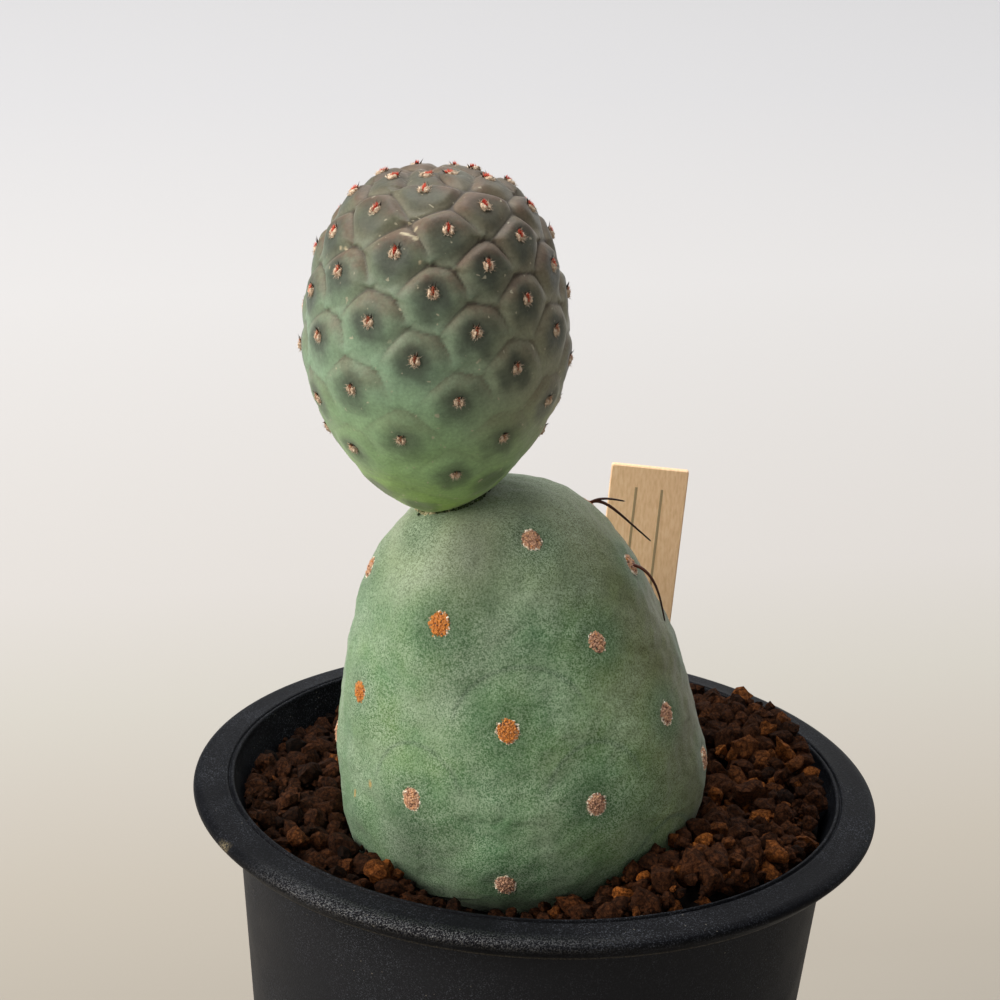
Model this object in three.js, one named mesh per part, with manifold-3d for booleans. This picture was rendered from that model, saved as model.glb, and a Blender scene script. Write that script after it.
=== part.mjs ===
// A potted Tephrocactus geometricus: a young egg-shaped joint growing on an older,
// larger one, in a round plastic pot of crumbled clay soil, with a plant label.
// Millimetres, +Z up. The origin is the centre of the pot's foot, on the surface
// that the pot stands on, and the side that is meant to be seen looks along -Y.

import * as THREE from 'three';
import Module from 'manifold-3d';
import { ConvexHull } from 'three/addons/math/ConvexHull.js';
import { mergeVertices } from 'three/addons/utils/BufferGeometryUtils.js';

const wasm = await Module();
wasm.setup();

// Driving dimensions of the pot
const POT_HEIGHT = 80;
const RIM_RADIUS = 45;
const MOUTH_RADIUS = 39.6;
const RIM_DROP = 3.7;
const BODY_RADIUS = 39.2;
const TAPER = 0.097;
const WALL = 1.2;
const FOOT_RECESS = 1.6;
const FLOOR = 2.2;
const FOOT_WIDTH = 4;
const DRAIN = { count: 6, radius: 3.5, ring: 17 };
const NOTCH = { count: 4, width: 6, height: 0.8 };
const POT_SIDES = 48;

// Driving dimensions of the soil: a slope up to +X, heaps at the back right and against the
// plant on both sides, and a hollow in front of it
const SOIL_LEVEL = 77.4;
const SOIL_SLOPE = 0.05;
const HEAPS = [
  { x: 30, y: 18, height: 4, spread: 10 },
  { x: 19, y: -22, height: 4.2, spread: 8.5 },
  { x: -30, y: -6, height: 2, spread: 13 },
  { x: -16, y: -27, height: 1.6, spread: 6 },
  { x: -4, y: -35, height: -3.8, spread: 8 },
];
const GRAIN = { count: 420, small: 1, large: 1.35, corners: 5, low: 0.1, high: 1.4, tilt: 0.4, stray: 0.3 };
const FILL = { depth: 1.1, shoulder: 4, corner: 1.4, edge: 0.4, uneven: 1.6 };
const GAP = 0.3;

// Driving dimensions of the two joints of the plant. A joint is a solid of revolution
// about its own leaning axis, widest at its belt. Its radius at the height s above or
// below the belt is radius * (1 - (s / reach) ^ power) ^ (1 / round). Its areoles
// follow one spiral from the tip: areole n turns by the divergence from the one
// before, and the skin above it has the area tight * n + spread * n * n. A few stray from
// it, by number, in degrees round and down.
const LOWER = {
  belt: [-1.83, -7, 84.95],
  leanX: -0.167,
  radius: 23.9,
  above: { reach: 39.2, power: 1.518, round: 2.71 },
  below: { reach: 20, power: 2.4, round: 1.8 },
  heart: 13.7,
  spiral: { first: 2.78, turn: 14.7, divergence: -150.75, tight: 136.7, spread: 2.74 },
  strays: {
    0: [12, 8], 3: [8, -5], 5: [6, 3], 6: [1, -5], 8: [-1, -2], 12: [-4, 9], 13: [-4, 3],
    15: [-2, 2], 18: [-2, 4], 20: [-3, 4], 24: [0, -6], 27: [2, 1],
  },
  apexTilt: [-6.4, 2.2],
  relief: { crease: 0.45, creaseWidth: 0.13, lift: 0.35 },
  areole: { rise: 0.5, side: 0.12, none: 9 },
  facets: 6,
  gather: 1.5,
};
const UPPER = {
  belt: [-15.21, -8.84, 141.96],
  leanX: -0.03,
  radius: 16.8,
  above: { reach: 22.05, power: 1.87, round: 3.285 },
  below: { reach: 21.85, power: 1.573, round: 1.616 },
  heart: 0.1,
  spiral: { first: 0.46, turn: 35.9, divergence: -157.885, tight: 28.3, spread: 0.262 },
  strays: {
    0: [-2, 6], 2: [0, 5], 3: [16, -9], 5: [13, -3], 8: [-7, -6], 10: [-1, -5], 15: [2, -3],
    17: [-1, -2], 21: [-3, 0], 33: [-4, 0], 42: [-2, 2], 49: [-6, 1], 56: [-9, -2], 58: [-4, 3],
    62: [7, 1], 64: [-10, 2], 65: [-8, -1], 67: [-1, 6], 69: [8, 0], 71: [12, 0], 74: [-12, -1],
    76: [12, 2],
  },
  apexTilt: [-5.5, 1.4],
  relief: { crease: 0.42, creaseWidth: 0.16, lift: 0.75 },
  areole: { rise: 1.35, side: 0.5, none: 11.5 },
  facets: 6,
  gather: 1.6,
};
const SEAT = new THREE.Vector3(-11.7, -8.8, 122.6);
const ROOT = { top: 68, bottom: 38, offset: 3, radius: 7, tip: 1.2, flare: 1.6, sides: 12 };
const ROOM = { rings: 24, sides: 64, play: 0.15 };
const MEASURE_STEPS = 600;

// Driving dimensions of the long spines, which the older joint keeps on two areoles:
// each leaves its areole, bends over near its foot and runs on almost straight.
const SPINES = [
  { areole: 0, length: 5.1, azimuth: -4, rise: 72, fall: -6, bend: 2.4 },
  { areole: 0, length: 10.3, azimuth: -4, rise: 100, fall: -39, bend: 6.5 },
  { areole: 5, length: 9.3, azimuth: -25, rise: 25, fall: -74, bend: 2.6 },
];
const SPINE = { radius: 0.32, taper: 0.6, sides: 5, steps: 12, seat: 0.5 };

// Driving dimensions of the label
const LABEL = { width: 10.5, height: 60, thickness: 0.9, point: 9, tip: 3, lean: 2.8 };
const LABEL_TOP = [13.2, 26, 115];

const degrees = Math.PI / 180;
const GOLDEN_ANGLE = 137.508 * degrees;

// A repeatable random draw between 0 and 1
function dice(seed) {
  let state = seed;
  return () => {
    state = (state * 1664525 + 1013904223) % 4294967296;
    return state / 4294967296;
  };
}

// A closed geometry as a solid that can be joined and cut
function solid(geometry) {
  const bare = geometry.clone();
  bare.deleteAttribute('normal');
  bare.deleteAttribute('uv');
  const merged = mergeVertices(bare, 1e-5);
  const index = merged.index.array;
  const kept = [];
  for (let i = 0; i < index.length; i += 3) {
    const [a, b, c] = index.subarray(i, i + 3);
    if (a !== b && b !== c && c !== a) kept.push(a, b, c);
  }
  return new wasm.Manifold(new wasm.Mesh({
    numProp: 3,
    vertProperties: merged.attributes.position.array,
    triVerts: new Uint32Array(kept),
  }));
}

// The geometry of a joined or cut solid
function shape(body) {
  const mesh = body.getMesh();
  const geometry = new THREE.BufferGeometry();
  geometry.setAttribute('position', new THREE.BufferAttribute(mesh.vertProperties, 3));
  geometry.setIndex(new THREE.BufferAttribute(mesh.triVerts, 1));
  return geometry;
}

// The body of a cut solid, without the chips that the cut leaves
function largest(body) {
  return body.decompose().reduce((a, b) => (b.volume() > a.volume() ? b : a));
}

function geometryOf(points, faces) {
  const geometry = new THREE.BufferGeometry();
  geometry.setAttribute('position', new THREE.Float32BufferAttribute(points.flat(), 3));
  geometry.setIndex(faces);
  return geometry;
}

// A skin over rings of points, listed from one end to the other, with a point in the
// middle of each end. The rings turn counter-clockwise as seen from the last.
function skinFaces(rings, closed) {
  const sides = rings[0].length;
  const last = 1 + rings.length * sides;
  const faces = [];
  for (let i = 0; i < sides; i++) {
    const j = (i + 1) % sides;
    faces.push(0, 1 + j, 1 + i);
    for (let k = 0; k + 1 < rings.length; k++) {
      const low = 1 + k * sides;
      const high = low + sides;
      faces.push(low + i, low + j, high + j, low + i, high + j, high + i);
    }
    if (closed) faces.push(last, last - sides + i, last - sides + j);
  }
  return faces;
}

function skin(start, rings, end) {
  return geometryOf([start, ...rings.flat(), end], skinFaces(rings, true));
}

function ring(radius, sides, height) {
  return Array.from({ length: sides }, (_, i) => {
    const angle = i / sides * 2 * Math.PI;
    const x = radius * Math.cos(angle);
    const y = radius * Math.sin(angle);
    return [x, y, typeof height === 'function' ? height(x, y) : height];
  });
}

// A joint's meridian: the distance from the axis at the height s from the belt
function radiusAt(joint, s) {
  const half = s > 0 ? joint.above : joint.below;
  const part = Math.min(Math.abs(s) / half.reach, 1);
  return joint.radius * (1 - part ** half.power) ** (1 / half.round);
}

// The meridian's point at a place from 0, the tip, to 1, the foot: [radius, height]
function meridianPoint(joint, place) {
  const wave = Math.cos(place * Math.PI);
  const s = wave * (wave > 0 ? joint.above.reach : joint.below.reach);
  return [radiusAt(joint, s), s];
}

function angleFromTip(joint, place) {
  const [r, s] = meridianPoint(joint, place);
  return Math.atan2(r, s - joint.heart);
}

// The meridian's place that is seen from the heart at an angle from the tip
function placeAtAngle(joint, angle) {
  let low = 0;
  let high = 1;
  for (let i = 0; i < 40; i++) {
    const middle = (low + high) / 2;
    if (angleFromTip(joint, middle) < angle) low = middle;
    else high = middle;
  }
  return (low + high) / 2;
}

// The axes of a leaning joint
function axesOf(joint) {
  const w = new THREE.Vector3(Math.tan(joint.leanX), 0, 1).normalize();
  const u = new THREE.Vector3(0, 1, 0).cross(w).normalize();
  const v = new THREE.Vector3().crossVectors(w, u);
  return { belt: new THREE.Vector3(...joint.belt), u, v, w };
}

function inWorld(axes, x, y, z) {
  return axes.belt.clone().addScaledVector(axes.u, x)
    .addScaledVector(axes.v, y).addScaledVector(axes.w, z);
}

// The skin's point and outward normal in a direction from the heart
function skinPoint(joint, axes, direction) {
  const angle = Math.acos(THREE.MathUtils.clamp(direction.z, -1, 1));
  const turn = Math.atan2(direction.y, direction.x);
  const place = placeAtAngle(joint, angle);
  const [r, s] = meridianPoint(joint, place);
  const [r0, s0] = meridianPoint(joint, Math.max(place - 0.002, 0));
  const [r1, s1] = meridianPoint(joint, Math.min(place + 0.002, 1));
  const long = Math.hypot(r1 - r0, s1 - s0);
  const out = (s0 - s1) / long;
  const up = (r1 - r0) / long;
  const point = inWorld(axes, r * Math.cos(turn), r * Math.sin(turn), s);
  const normal = inWorld(axes, out * Math.cos(turn), out * Math.sin(turn), up).sub(axes.belt);
  return { point, normal };
}

// The areoles of a joint, in spiral order from the tip
function areolesOf(joint, axes) {
  const table = [[0, 0]];
  let area = 0;
  for (let i = 1; i <= MEASURE_STEPS; i++) {
    const [r0, s0] = meridianPoint(joint, (i - 1) / MEASURE_STEPS);
    const [r1, s1] = meridianPoint(joint, i / MEASURE_STEPS);
    area += Math.PI * (r0 + r1) * Math.hypot(r1 - r0, s1 - s0);
    table.push([area, i / MEASURE_STEPS]);
  }
  const { first, turn, divergence, tight, spread } = joint.spiral;
  const tilt = new THREE.Euler(joint.apexTilt[0] * degrees, joint.apexTilt[1] * degrees, 0, 'YXZ');
  const areoles = [];
  for (let n = first, k = 0; ; n++, k++) {
    const above = tight * n + spread * n * n;
    if (above > 0.985 * area) break;
    const i = table.findIndex(([passed]) => passed >= above);
    const share = (above - table[i - 1][0]) / (table[i][0] - table[i - 1][0]);
    const angle = angleFromTip(joint, (i - 1 + share) / MEASURE_STEPS);
    const [aside, down] = joint.strays[k] ?? [0, 0];
    const fall = angle + down * degrees;
    const round = (turn + divergence * k + aside) * degrees;
    const direction = new THREE.Vector3(
      Math.sin(fall) * Math.cos(round), Math.sin(fall) * Math.sin(round), Math.cos(fall));
    direction.applyEuler(tilt);
    const { point, normal } = skinPoint(joint, axes, direction);
    const up = axes.w.clone().addScaledVector(normal, -axes.w.dot(normal)).normalize();
    areoles.push({ direction, point, normal, up, size: Math.sqrt(tight + 2 * spread * n) });
  }
  return areoles;
}

// The height of the skin over a joint's smooth form: low tubercles, each a scale that
// rises towards its arched upper edge, with a crease where two meet. The nearest
// areole rules, with distances measured longer above it than below.
const STRETCH = { above: 1.35, below: 0.85 };
const SCALE = { low: -0.7, high: 0.4 };
function reliefAt(joint, areoles, point) {
  let nearest = Infinity;
  let second = Infinity;
  let rise = 0;
  for (const areole of areoles) {
    const offset = point.clone().sub(areole.point);
    const up = offset.dot(areole.up);
    const aside = Math.sqrt(Math.max(offset.lengthSq() - up * up, 0));
    const stretched = up * (up > 0 ? STRETCH.above : STRETCH.below);
    const far = Math.hypot(aside, stretched) / areole.size;
    if (far < nearest) {
      second = nearest;
      nearest = far;
      rise = up / areole.size;
    } else if (far < second) {
      second = far;
    }
  }
  const { crease, creaseWidth, lift } = joint.relief;
  const inside = 1 - Math.exp(-(((second - nearest) / creaseWidth) ** 2));
  const climb = THREE.MathUtils.clamp(rise, SCALE.low, SCALE.high) - SCALE.high;
  return crease * (inside - 1) + lift * inside * climb;
}

// A joint with its tubercles and areoles, as one closed skin: the areoles are joined
// into triangles round the heart, each triangle is split into facets that gather
// round the areoles, and every corner is set at its height.
function jointSkin(joint, axes, areoles) {
  const corners = areoles.map((areole) => areole.direction.clone());
  const order = new Map(corners.map((corner, i) => [corner, i]));
  const hull = new ConvexHull().setFromPoints(corners);
  const points = [];
  const known = new Map();
  const faces = [];
  const rim = 1 / joint.facets;

  function corner(members) {
    const shares = members.filter(([, share]) => share > 0).sort((a, b) => a[0] - b[0]);
    const key = shares.map(([i, share]) => `${i}:${Math.round(share * joint.facets)}`).join(' ');
    if (known.has(key)) return known.get(key);
    const direction = new THREE.Vector3();
    for (const [i, share] of shares) {
      direction.addScaledVector(areoles[i].direction, share ** joint.gather);
    }
    const { point, normal } = skinPoint(joint, axes, direction.normalize());
    let height = reliefAt(joint, areoles, point);
    const [owner, share] = shares.reduce((a, b) => (b[1] > a[1] ? b : a));
    const areole = areoles[owner];
    if (areole.shows && share > 1 - 1.5 * rim) {
      height += share > 1 - rim / 2 ? joint.areole.rise : joint.areole.side;
    }
    points.push(point.addScaledVector(normal, height).toArray());
    known.set(key, points.length - 1);
    return points.length - 1;
  }

  for (const face of hull.faces) {
    const three = [face.getEdge(0), face.getEdge(1), face.getEdge(2)]
      .map((edge) => order.get(edge.head().point));
    const at = (i, j) => corner([
      [three[0], 1 - (i + j) * rim], [three[1], i * rim], [three[2], j * rim],
    ].map(([k, share]) => [k, share < rim / 2 ? 0 : share]));
    for (let i = 0; i < joint.facets; i++) {
      for (let j = 0; i + j < joint.facets; j++) {
        faces.push(at(i, j), at(i + 1, j), at(i, j + 1));
        if (i + j + 2 <= joint.facets) faces.push(at(i + 1, j), at(i + 1, j + 1), at(i, j + 1));
      }
    }
  }
  return geometryOf(points, faces);
}

// A joint's smooth form, swollen on all sides, to cut room for it
function smoothJoint(joint, axes, swell) {
  const rings = [];
  for (let i = 1; i < ROOM.rings; i++) {
    const [r, s] = meridianPoint(joint, 1 - i / ROOM.rings);
    rings.push(Array.from({ length: ROOM.sides }, (_, k) => {
      const turn = k / ROOM.sides * 2 * Math.PI;
      const out = (r + swell) / Math.cos(Math.PI / ROOM.sides);
      return inWorld(axes, out * Math.cos(turn), out * Math.sin(turn), s).toArray();
    }));
  }
  const foot = inWorld(axes, 0, 0, -joint.below.reach - swell).toArray();
  const tip = inWorld(axes, 0, 0, joint.above.reach + swell).toArray();
  return skin(foot, rings, tip);
}

// The tap root under the older joint
function root(swell) {
  const [x, y] = [LOWER.belt[0] + ROOT.offset, LOWER.belt[1]];
  const rings = [];
  for (let share = 0; share < 1.01; share += 0.2) {
    const radius = ROOT.tip + (ROOT.radius - ROOT.tip) * share ** ROOT.flare + swell;
    const z = ROOT.bottom + (ROOT.top - ROOT.bottom) * share;
    rings.push(ring(radius, ROOT.sides, z).map(([px, py, pz]) => [px + x, py + y, pz]));
  }
  return skin([x, y, ROOT.bottom - ROOT.tip - swell], rings, [x, y, ROOT.top + ROOT.tip]);
}

// A tapering spine from an areole: it leaves at the angle rise and ends at the angle
// fall, both measured up from level, and what is left of the bend falls as the power bend
// of what is left of the length
function spine(areoles, { areole, length, azimuth, rise, fall, bend }) {
  const start = areoles[areole];
  const ahead = new THREE.Vector3(Math.cos(azimuth * degrees), Math.sin(azimuth * degrees), 0);
  const side = new THREE.Vector3(-ahead.y, ahead.x, 0);
  const at = start.point.clone().addScaledVector(start.normal, -SPINE.seat);
  const rings = [];
  for (let i = 0; i <= SPINE.steps; i++) {
    const share = i / SPINE.steps;
    const pitch = THREE.MathUtils.lerp(fall, rise, (1 - share) ** bend) * degrees;
    const along = ahead.clone().multiplyScalar(Math.cos(pitch)).setZ(Math.sin(pitch));
    const over = new THREE.Vector3().crossVectors(along, side);
    if (i > 0) at.addScaledVector(along, length / SPINE.steps);
    const radius = SPINE.radius * (1 - SPINE.taper * share);
    rings.push(Array.from({ length: SPINE.sides }, (_, k) => {
      const turn = k / SPINE.sides * 2 * Math.PI;
      return at.clone().addScaledVector(side, radius * Math.cos(turn))
        .addScaledVector(over, radius * Math.sin(turn)).toArray();
    }));
  }
  const base = start.point.clone().addScaledVector(start.normal, -2 * SPINE.seat).toArray();
  return skin(base, rings, at.toArray());
}

// The label, flat, with its top edge in the middle of the origin
function labelSolid(swell) {
  const half = LABEL.width / 2 + swell;
  const foot = -LABEL.height - swell;
  const outline = new THREE.Shape([
    new THREE.Vector2(-half, swell), new THREE.Vector2(-half, foot + LABEL.point),
    new THREE.Vector2(-LABEL.tip / 2 - swell, foot), new THREE.Vector2(LABEL.tip / 2 + swell, foot),
    new THREE.Vector2(half, foot + LABEL.point), new THREE.Vector2(half, swell),
  ]);
  const depth = LABEL.thickness + 2 * swell;
  const card = new THREE.ExtrudeGeometry(outline, { depth, bevelEnabled: false });
  card.translate(0, 0, -depth / 2);
  card.rotateX(90 * degrees);
  card.rotateY(LABEL.lean * degrees);
  return card.translate(...LABEL_TOP);
}

// The pot
function potRadius(z) {
  return BODY_RADIUS - TAPER * (POT_HEIGHT - RIM_DROP - z);
}

function pot() {
  const H = POT_HEIGHT;
  const floorTop = FOOT_RECESS + FLOOR;
  const lip = H - RIM_DROP;
  const inner = (z) => potRadius(z) - WALL;
  const profile = [
    [0, FOOT_RECESS],
    [potRadius(0) - FOOT_WIDTH - 0.8, FOOT_RECESS],
    [potRadius(0) - FOOT_WIDTH, 0],
    [potRadius(0) - 0.6, 0],
    [potRadius(0.8), 0.8],
    [potRadius(lip), lip],
    [potRadius(lip) + 0.9, H - 2.4],
    [RIM_RADIUS - 2.4, H - 2.9],
    [RIM_RADIUS - 2.5, lip + 0.2],
    [RIM_RADIUS - 1.7, lip],
    [RIM_RADIUS - 0.7, lip + 1],
    [RIM_RADIUS, H - 1.9],
    [RIM_RADIUS - 0.1, H - 1.2],
    [RIM_RADIUS - 0.9, H - 0.7],
    [RIM_RADIUS - 3.4, H - 0.35],
    [MOUTH_RADIUS + 0.9, H],
    [MOUTH_RADIUS, H - 0.3],
    [inner(H - 5), H - 5],
    [inner(floorTop + 1.2), floorTop + 1.2],
    [inner(floorTop) - 1, floorTop],
    [0, floorTop],
  ].map(([r, z]) => new THREE.Vector2(r, z));
  const turned = new THREE.LatheGeometry(profile, POT_SIDES).rotateX(90 * degrees);
  const cuts = [];
  for (let i = 0; i < DRAIN.count; i++) {
    const turn = i / DRAIN.count * 2 * Math.PI;
    cuts.push(new THREE.CylinderGeometry(DRAIN.radius, DRAIN.radius, 4 * FLOOR, 16)
      .rotateX(90 * degrees)
      .translate(DRAIN.ring * Math.cos(turn), DRAIN.ring * Math.sin(turn), floorTop));
  }
  for (let i = 0; i < NOTCH.count; i++) {
    cuts.push(new THREE.BoxGeometry(3 * FOOT_WIDTH, NOTCH.width, 2 * NOTCH.height)
      .translate(potRadius(0) - 1.5, 0, 0)
      .rotateZ((i + 0.5) / NOTCH.count * 2 * Math.PI));
  }
  return shape(cuts.reduce((body, cut) => body.subtract(solid(cut)), solid(turned)));
}

// The soil: a fill whose top is a bed of crumbled grains, with room for the older joint,
// its root and the label
function soilHeight(x, y) {
  return HEAPS.reduce((level, { x: middleX, y: middleY, height, spread }) => {
    const far = ((x - middleX) ** 2 + (y - middleY) ** 2) / (2 * spread ** 2);
    return level + height * Math.exp(-far);
  }, SOIL_LEVEL + SOIL_SLOPE * x);
}

function soilWall(z) {
  return potRadius(z) - WALL - GAP;
}

// The triangles that join points on the flat into a net with no long slivers: the
// underside of the hull of the same points lifted into a round bowl
function flatNet(points) {
  const lifted = points.map(([x, y]) => new THREE.Vector3(x, y, (x * x + y * y) / POT_HEIGHT));
  const order = new Map(lifted.map((corner, i) => [corner, i]));
  return new ConvexHull().setFromPoints(lifted).faces
    .filter((face) => face.normal.z < 0)
    .map((face) => [2, 1, 0].map((k) => order.get(face.getEdge(k).head().point)));
}

// Each grain is a tilted facet with a few corners, which stands over the gaps round it
function grainCorners([x, y], random) {
  const radius = THREE.MathUtils.lerp(GRAIN.small, GRAIN.large, random());
  const height = THREE.MathUtils.lerp(GRAIN.low, GRAIN.high, random());
  const tilts = [GRAIN.tilt * (2 * random() - 1), GRAIN.tilt * (2 * random() - 1)];
  const turn = 2 * Math.PI * random();
  return Array.from({ length: GRAIN.corners }, (_, i) => {
    const angle = turn + i / GRAIN.corners * 2 * Math.PI;
    const [dx, dy] = [radius * Math.cos(angle), radius * Math.sin(angle)];
    return [x + dx, y + dy, soilHeight(x, y) + height + tilts[0] * dx + tilts[1] * dy];
  });
}

function soilBed() {
  const random = dice(1907);
  const bottom = FOOT_RECESS + FLOOR + GAP;
  const shoulder = SOIL_LEVEL - FILL.shoulder;
  const widest = soilWall(shoulder);
  const gapHeight = (x, y) => soilHeight(x, y) - FILL.depth;
  const plant = new THREE.Vector2(LOWER.belt[0], LOWER.belt[1]);
  const centres = [];
  for (let k = 0; k < GRAIN.count; k++) {
    const out = (widest - GRAIN.large - FILL.edge) * Math.sqrt((k + 0.5) / GRAIN.count);
    const turn = k * GOLDEN_ANGLE;
    const x = out * Math.cos(turn) + GRAIN.stray * (2 * random() - 1);
    const y = out * Math.sin(turn) + GRAIN.stray * (2 * random() - 1);
    if (plant.distanceTo(new THREE.Vector2(x, y)) > LOWER.radius - GRAIN.large) centres.push([x, y]);
  }
  const edge = ring(widest, POT_SIDES, (x, y) => (
    Math.min(gapHeight(x, y) + FILL.uneven * random(), POT_HEIGHT - FILL.edge)));
  const gaps = flatNet(centres).map((three) => {
    const [x, y] = [0, 1].map((axis) => three.reduce((sum, k) => sum + centres[k][axis], 0) / 3);
    return [x, y, gapHeight(x, y)];
  });
  const top = [...edge, ...gaps, ...centres.flatMap((centre) => grainCorners(centre, random))];
  const rings = [
    ring(soilWall(bottom) - FILL.corner, POT_SIDES, bottom),
    ring(soilWall(bottom + FILL.corner), POT_SIDES, bottom + FILL.corner),
    ring(widest, POT_SIDES, shoulder),
    edge,
  ];
  const first = 1 + (rings.length - 1) * POT_SIDES;
  const net = flatNet(top).flat().map((k) => first + k);
  const under = [[0, 0, bottom], ...rings.slice(0, -1).flat()];
  return geometryOf([...under, ...top], [...skinFaces(rings, false), ...net]);
}

function soil(lowerAxes) {
  return shape(largest(solid(soilBed())
    .subtract(solid(smoothJoint(LOWER, lowerAxes, GAP + ROOM.play)))
    .subtract(solid(root(GAP)))
    .subtract(solid(labelSolid(GAP)))));
}

// The plant
function lowerSegment(axes) {
  const areoles = areolesOf(LOWER, axes);
  for (const areole of areoles) {
    const { x, y, z } = areole.point;
    areole.shows = z > soilHeight(x, y) + GRAIN.small && areole.point.distanceTo(SEAT) > LOWER.areole.none;
  }
  const spines = SPINES.map((each) => solid(spine(areoles, each)));
  const body = solid(jointSkin(LOWER, axes, areoles));
  return shape(wasm.Manifold.union([body, solid(root(0)), ...spines]));
}

function upperSegment(axes, lowerAxes) {
  const areoles = areolesOf(UPPER, axes);
  for (const areole of areoles) {
    areole.shows = areole.point.distanceTo(SEAT) > UPPER.areole.none;
  }
  const body = solid(jointSkin(UPPER, axes, areoles));
  return shape(largest(body.subtract(solid(smoothJoint(LOWER, lowerAxes, GAP)))));
}

function sub(name, geometry, color, roughness) {
  geometry.computeVertexNormals();
  const material = new THREE.MeshStandardMaterial({ color, roughness, metalness: 0 });
  const mesh = new THREE.Mesh(geometry, material);
  mesh.name = name;
  return mesh;
}

const lowerAxes = axesOf(LOWER);
const upperAxes = axesOf(UPPER);
const potted = new THREE.Group();
potted.add(
  sub('pot', pot(), 0x23262b, 0.5),
  sub('soil', soil(lowerAxes), 0x6e3a22, 0.95),
  sub('lower_segment', lowerSegment(lowerAxes), 0x5f8460, 0.7),
  sub('upper_segment', upperSegment(upperAxes, lowerAxes), 0x5c6b55, 0.65),
  sub('plant_label', labelSolid(0), 0xcba77b, 0.8),
);

export default potted;
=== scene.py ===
# A potted Tephrocactus geometricus, dressed for its picture: the two joints with their
# scales, areoles and spines, the crumbled clay soil, the black nursery pot and the label.
# Sizes are millimetres, and mesh_piece turns them into metres.
import math
from functools import partial

import bmesh
import bpy
import numpy as np
from mathutils import Matrix, Vector


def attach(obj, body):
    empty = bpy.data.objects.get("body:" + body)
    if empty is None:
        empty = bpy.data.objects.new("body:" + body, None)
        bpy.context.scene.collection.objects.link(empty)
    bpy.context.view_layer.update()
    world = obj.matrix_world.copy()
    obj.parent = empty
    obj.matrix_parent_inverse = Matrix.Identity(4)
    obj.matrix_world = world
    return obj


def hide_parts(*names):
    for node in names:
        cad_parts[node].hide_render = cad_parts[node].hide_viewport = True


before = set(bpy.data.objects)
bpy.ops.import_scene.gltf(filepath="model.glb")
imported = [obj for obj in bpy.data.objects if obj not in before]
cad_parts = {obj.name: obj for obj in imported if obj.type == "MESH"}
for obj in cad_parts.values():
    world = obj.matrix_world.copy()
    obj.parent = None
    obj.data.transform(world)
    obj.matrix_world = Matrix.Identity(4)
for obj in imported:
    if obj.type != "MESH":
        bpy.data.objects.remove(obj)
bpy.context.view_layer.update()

MM = 0.001
GOLDEN_ANGLE = math.radians(137.508)

# The camera: where it stands, the point in the middle of its picture, and its tilt
CAMERA_PLACE = (0.0, -406.64, 272.73)
CAMERA_TARGET = (-6.53, 0.0, 118.79)
CAMERA_ROLL = 2.94
CAMERA_LENS = 122.26

# The floor, a disc that reaches well past the picture
FLOOR_REACH = 3000.0
FLOOR_SIDES = 96

# The pot
POT_HEIGHT = 80.0
RIM_RADIUS = 45.0
MOUTH_RADIUS = 39.6
RIM_DROP = 3.7
BODY_RADIUS = 39.2
TAPER = 0.097
WALL = 1.2
FOOT_RECESS = 1.6
FLOOR = 2.2
FOOT_WIDTH = 4.0
DRAIN = {"count": 6, "radius": 3.5, "ring": 17.0, "sides": 40}
NOTCH = {"count": 4, "width": 6.0, "height": 0.8}
POT_SIDES = 256
MUD = np.array([-38.6, -22.8, 78.1])

# The soil: a slope up to +X, heaps at the back right and against the plant on both sides,
# and a hollow in front of it. It stands clear of the pot's wall by the gap, and its fill
# lies under the grains by the cover. Where its grains are dry, the height says how dry.
SOIL_LEVEL = 77.4
SOIL_SLOPE = 0.05
SOIL_SIDES = 96
HEAPS = [
    {"x": 30, "y": 18, "height": 4.0, "spread": 10.0}, {"x": 19, "y": -22, "height": 4.2, "spread": 8.5},
    {"x": -30, "y": -6, "height": 2.0, "spread": 13.0}, {"x": -16, "y": -27, "height": 1.6, "spread": 6.0},
    {"x": -4, "y": -35, "height": -3.8, "spread": 8.0},
]
GAP = 0.3
COVER = 2.2
DRY = [
    {"x": 19, "y": -24, "spread": 9.0, "height": 0.75}, {"x": -18, "y": -24.5, "spread": 1.6, "height": 1.0},
    {"x": 30, "y": 6, "spread": 13.0, "height": 0.6},
]
GRAINS = [
    {"name": "soil_grains_low", "count": 700, "small": 1.0, "large": 1.7, "tight": 0.9, "level": -2.0,
     "seed": 21, "fine": 2},
    {"name": "soil_grains_top", "count": 720, "small": 0.75, "large": 1.8, "tight": 1.0, "level": -0.2,
     "seed": 22, "fine": 2},
    {"name": "soil_crumbs", "count": 2300, "small": 0.28, "large": 0.8, "tight": 0.6, "level": -0.6,
     "seed": 23, "fine": 1},
]

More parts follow.
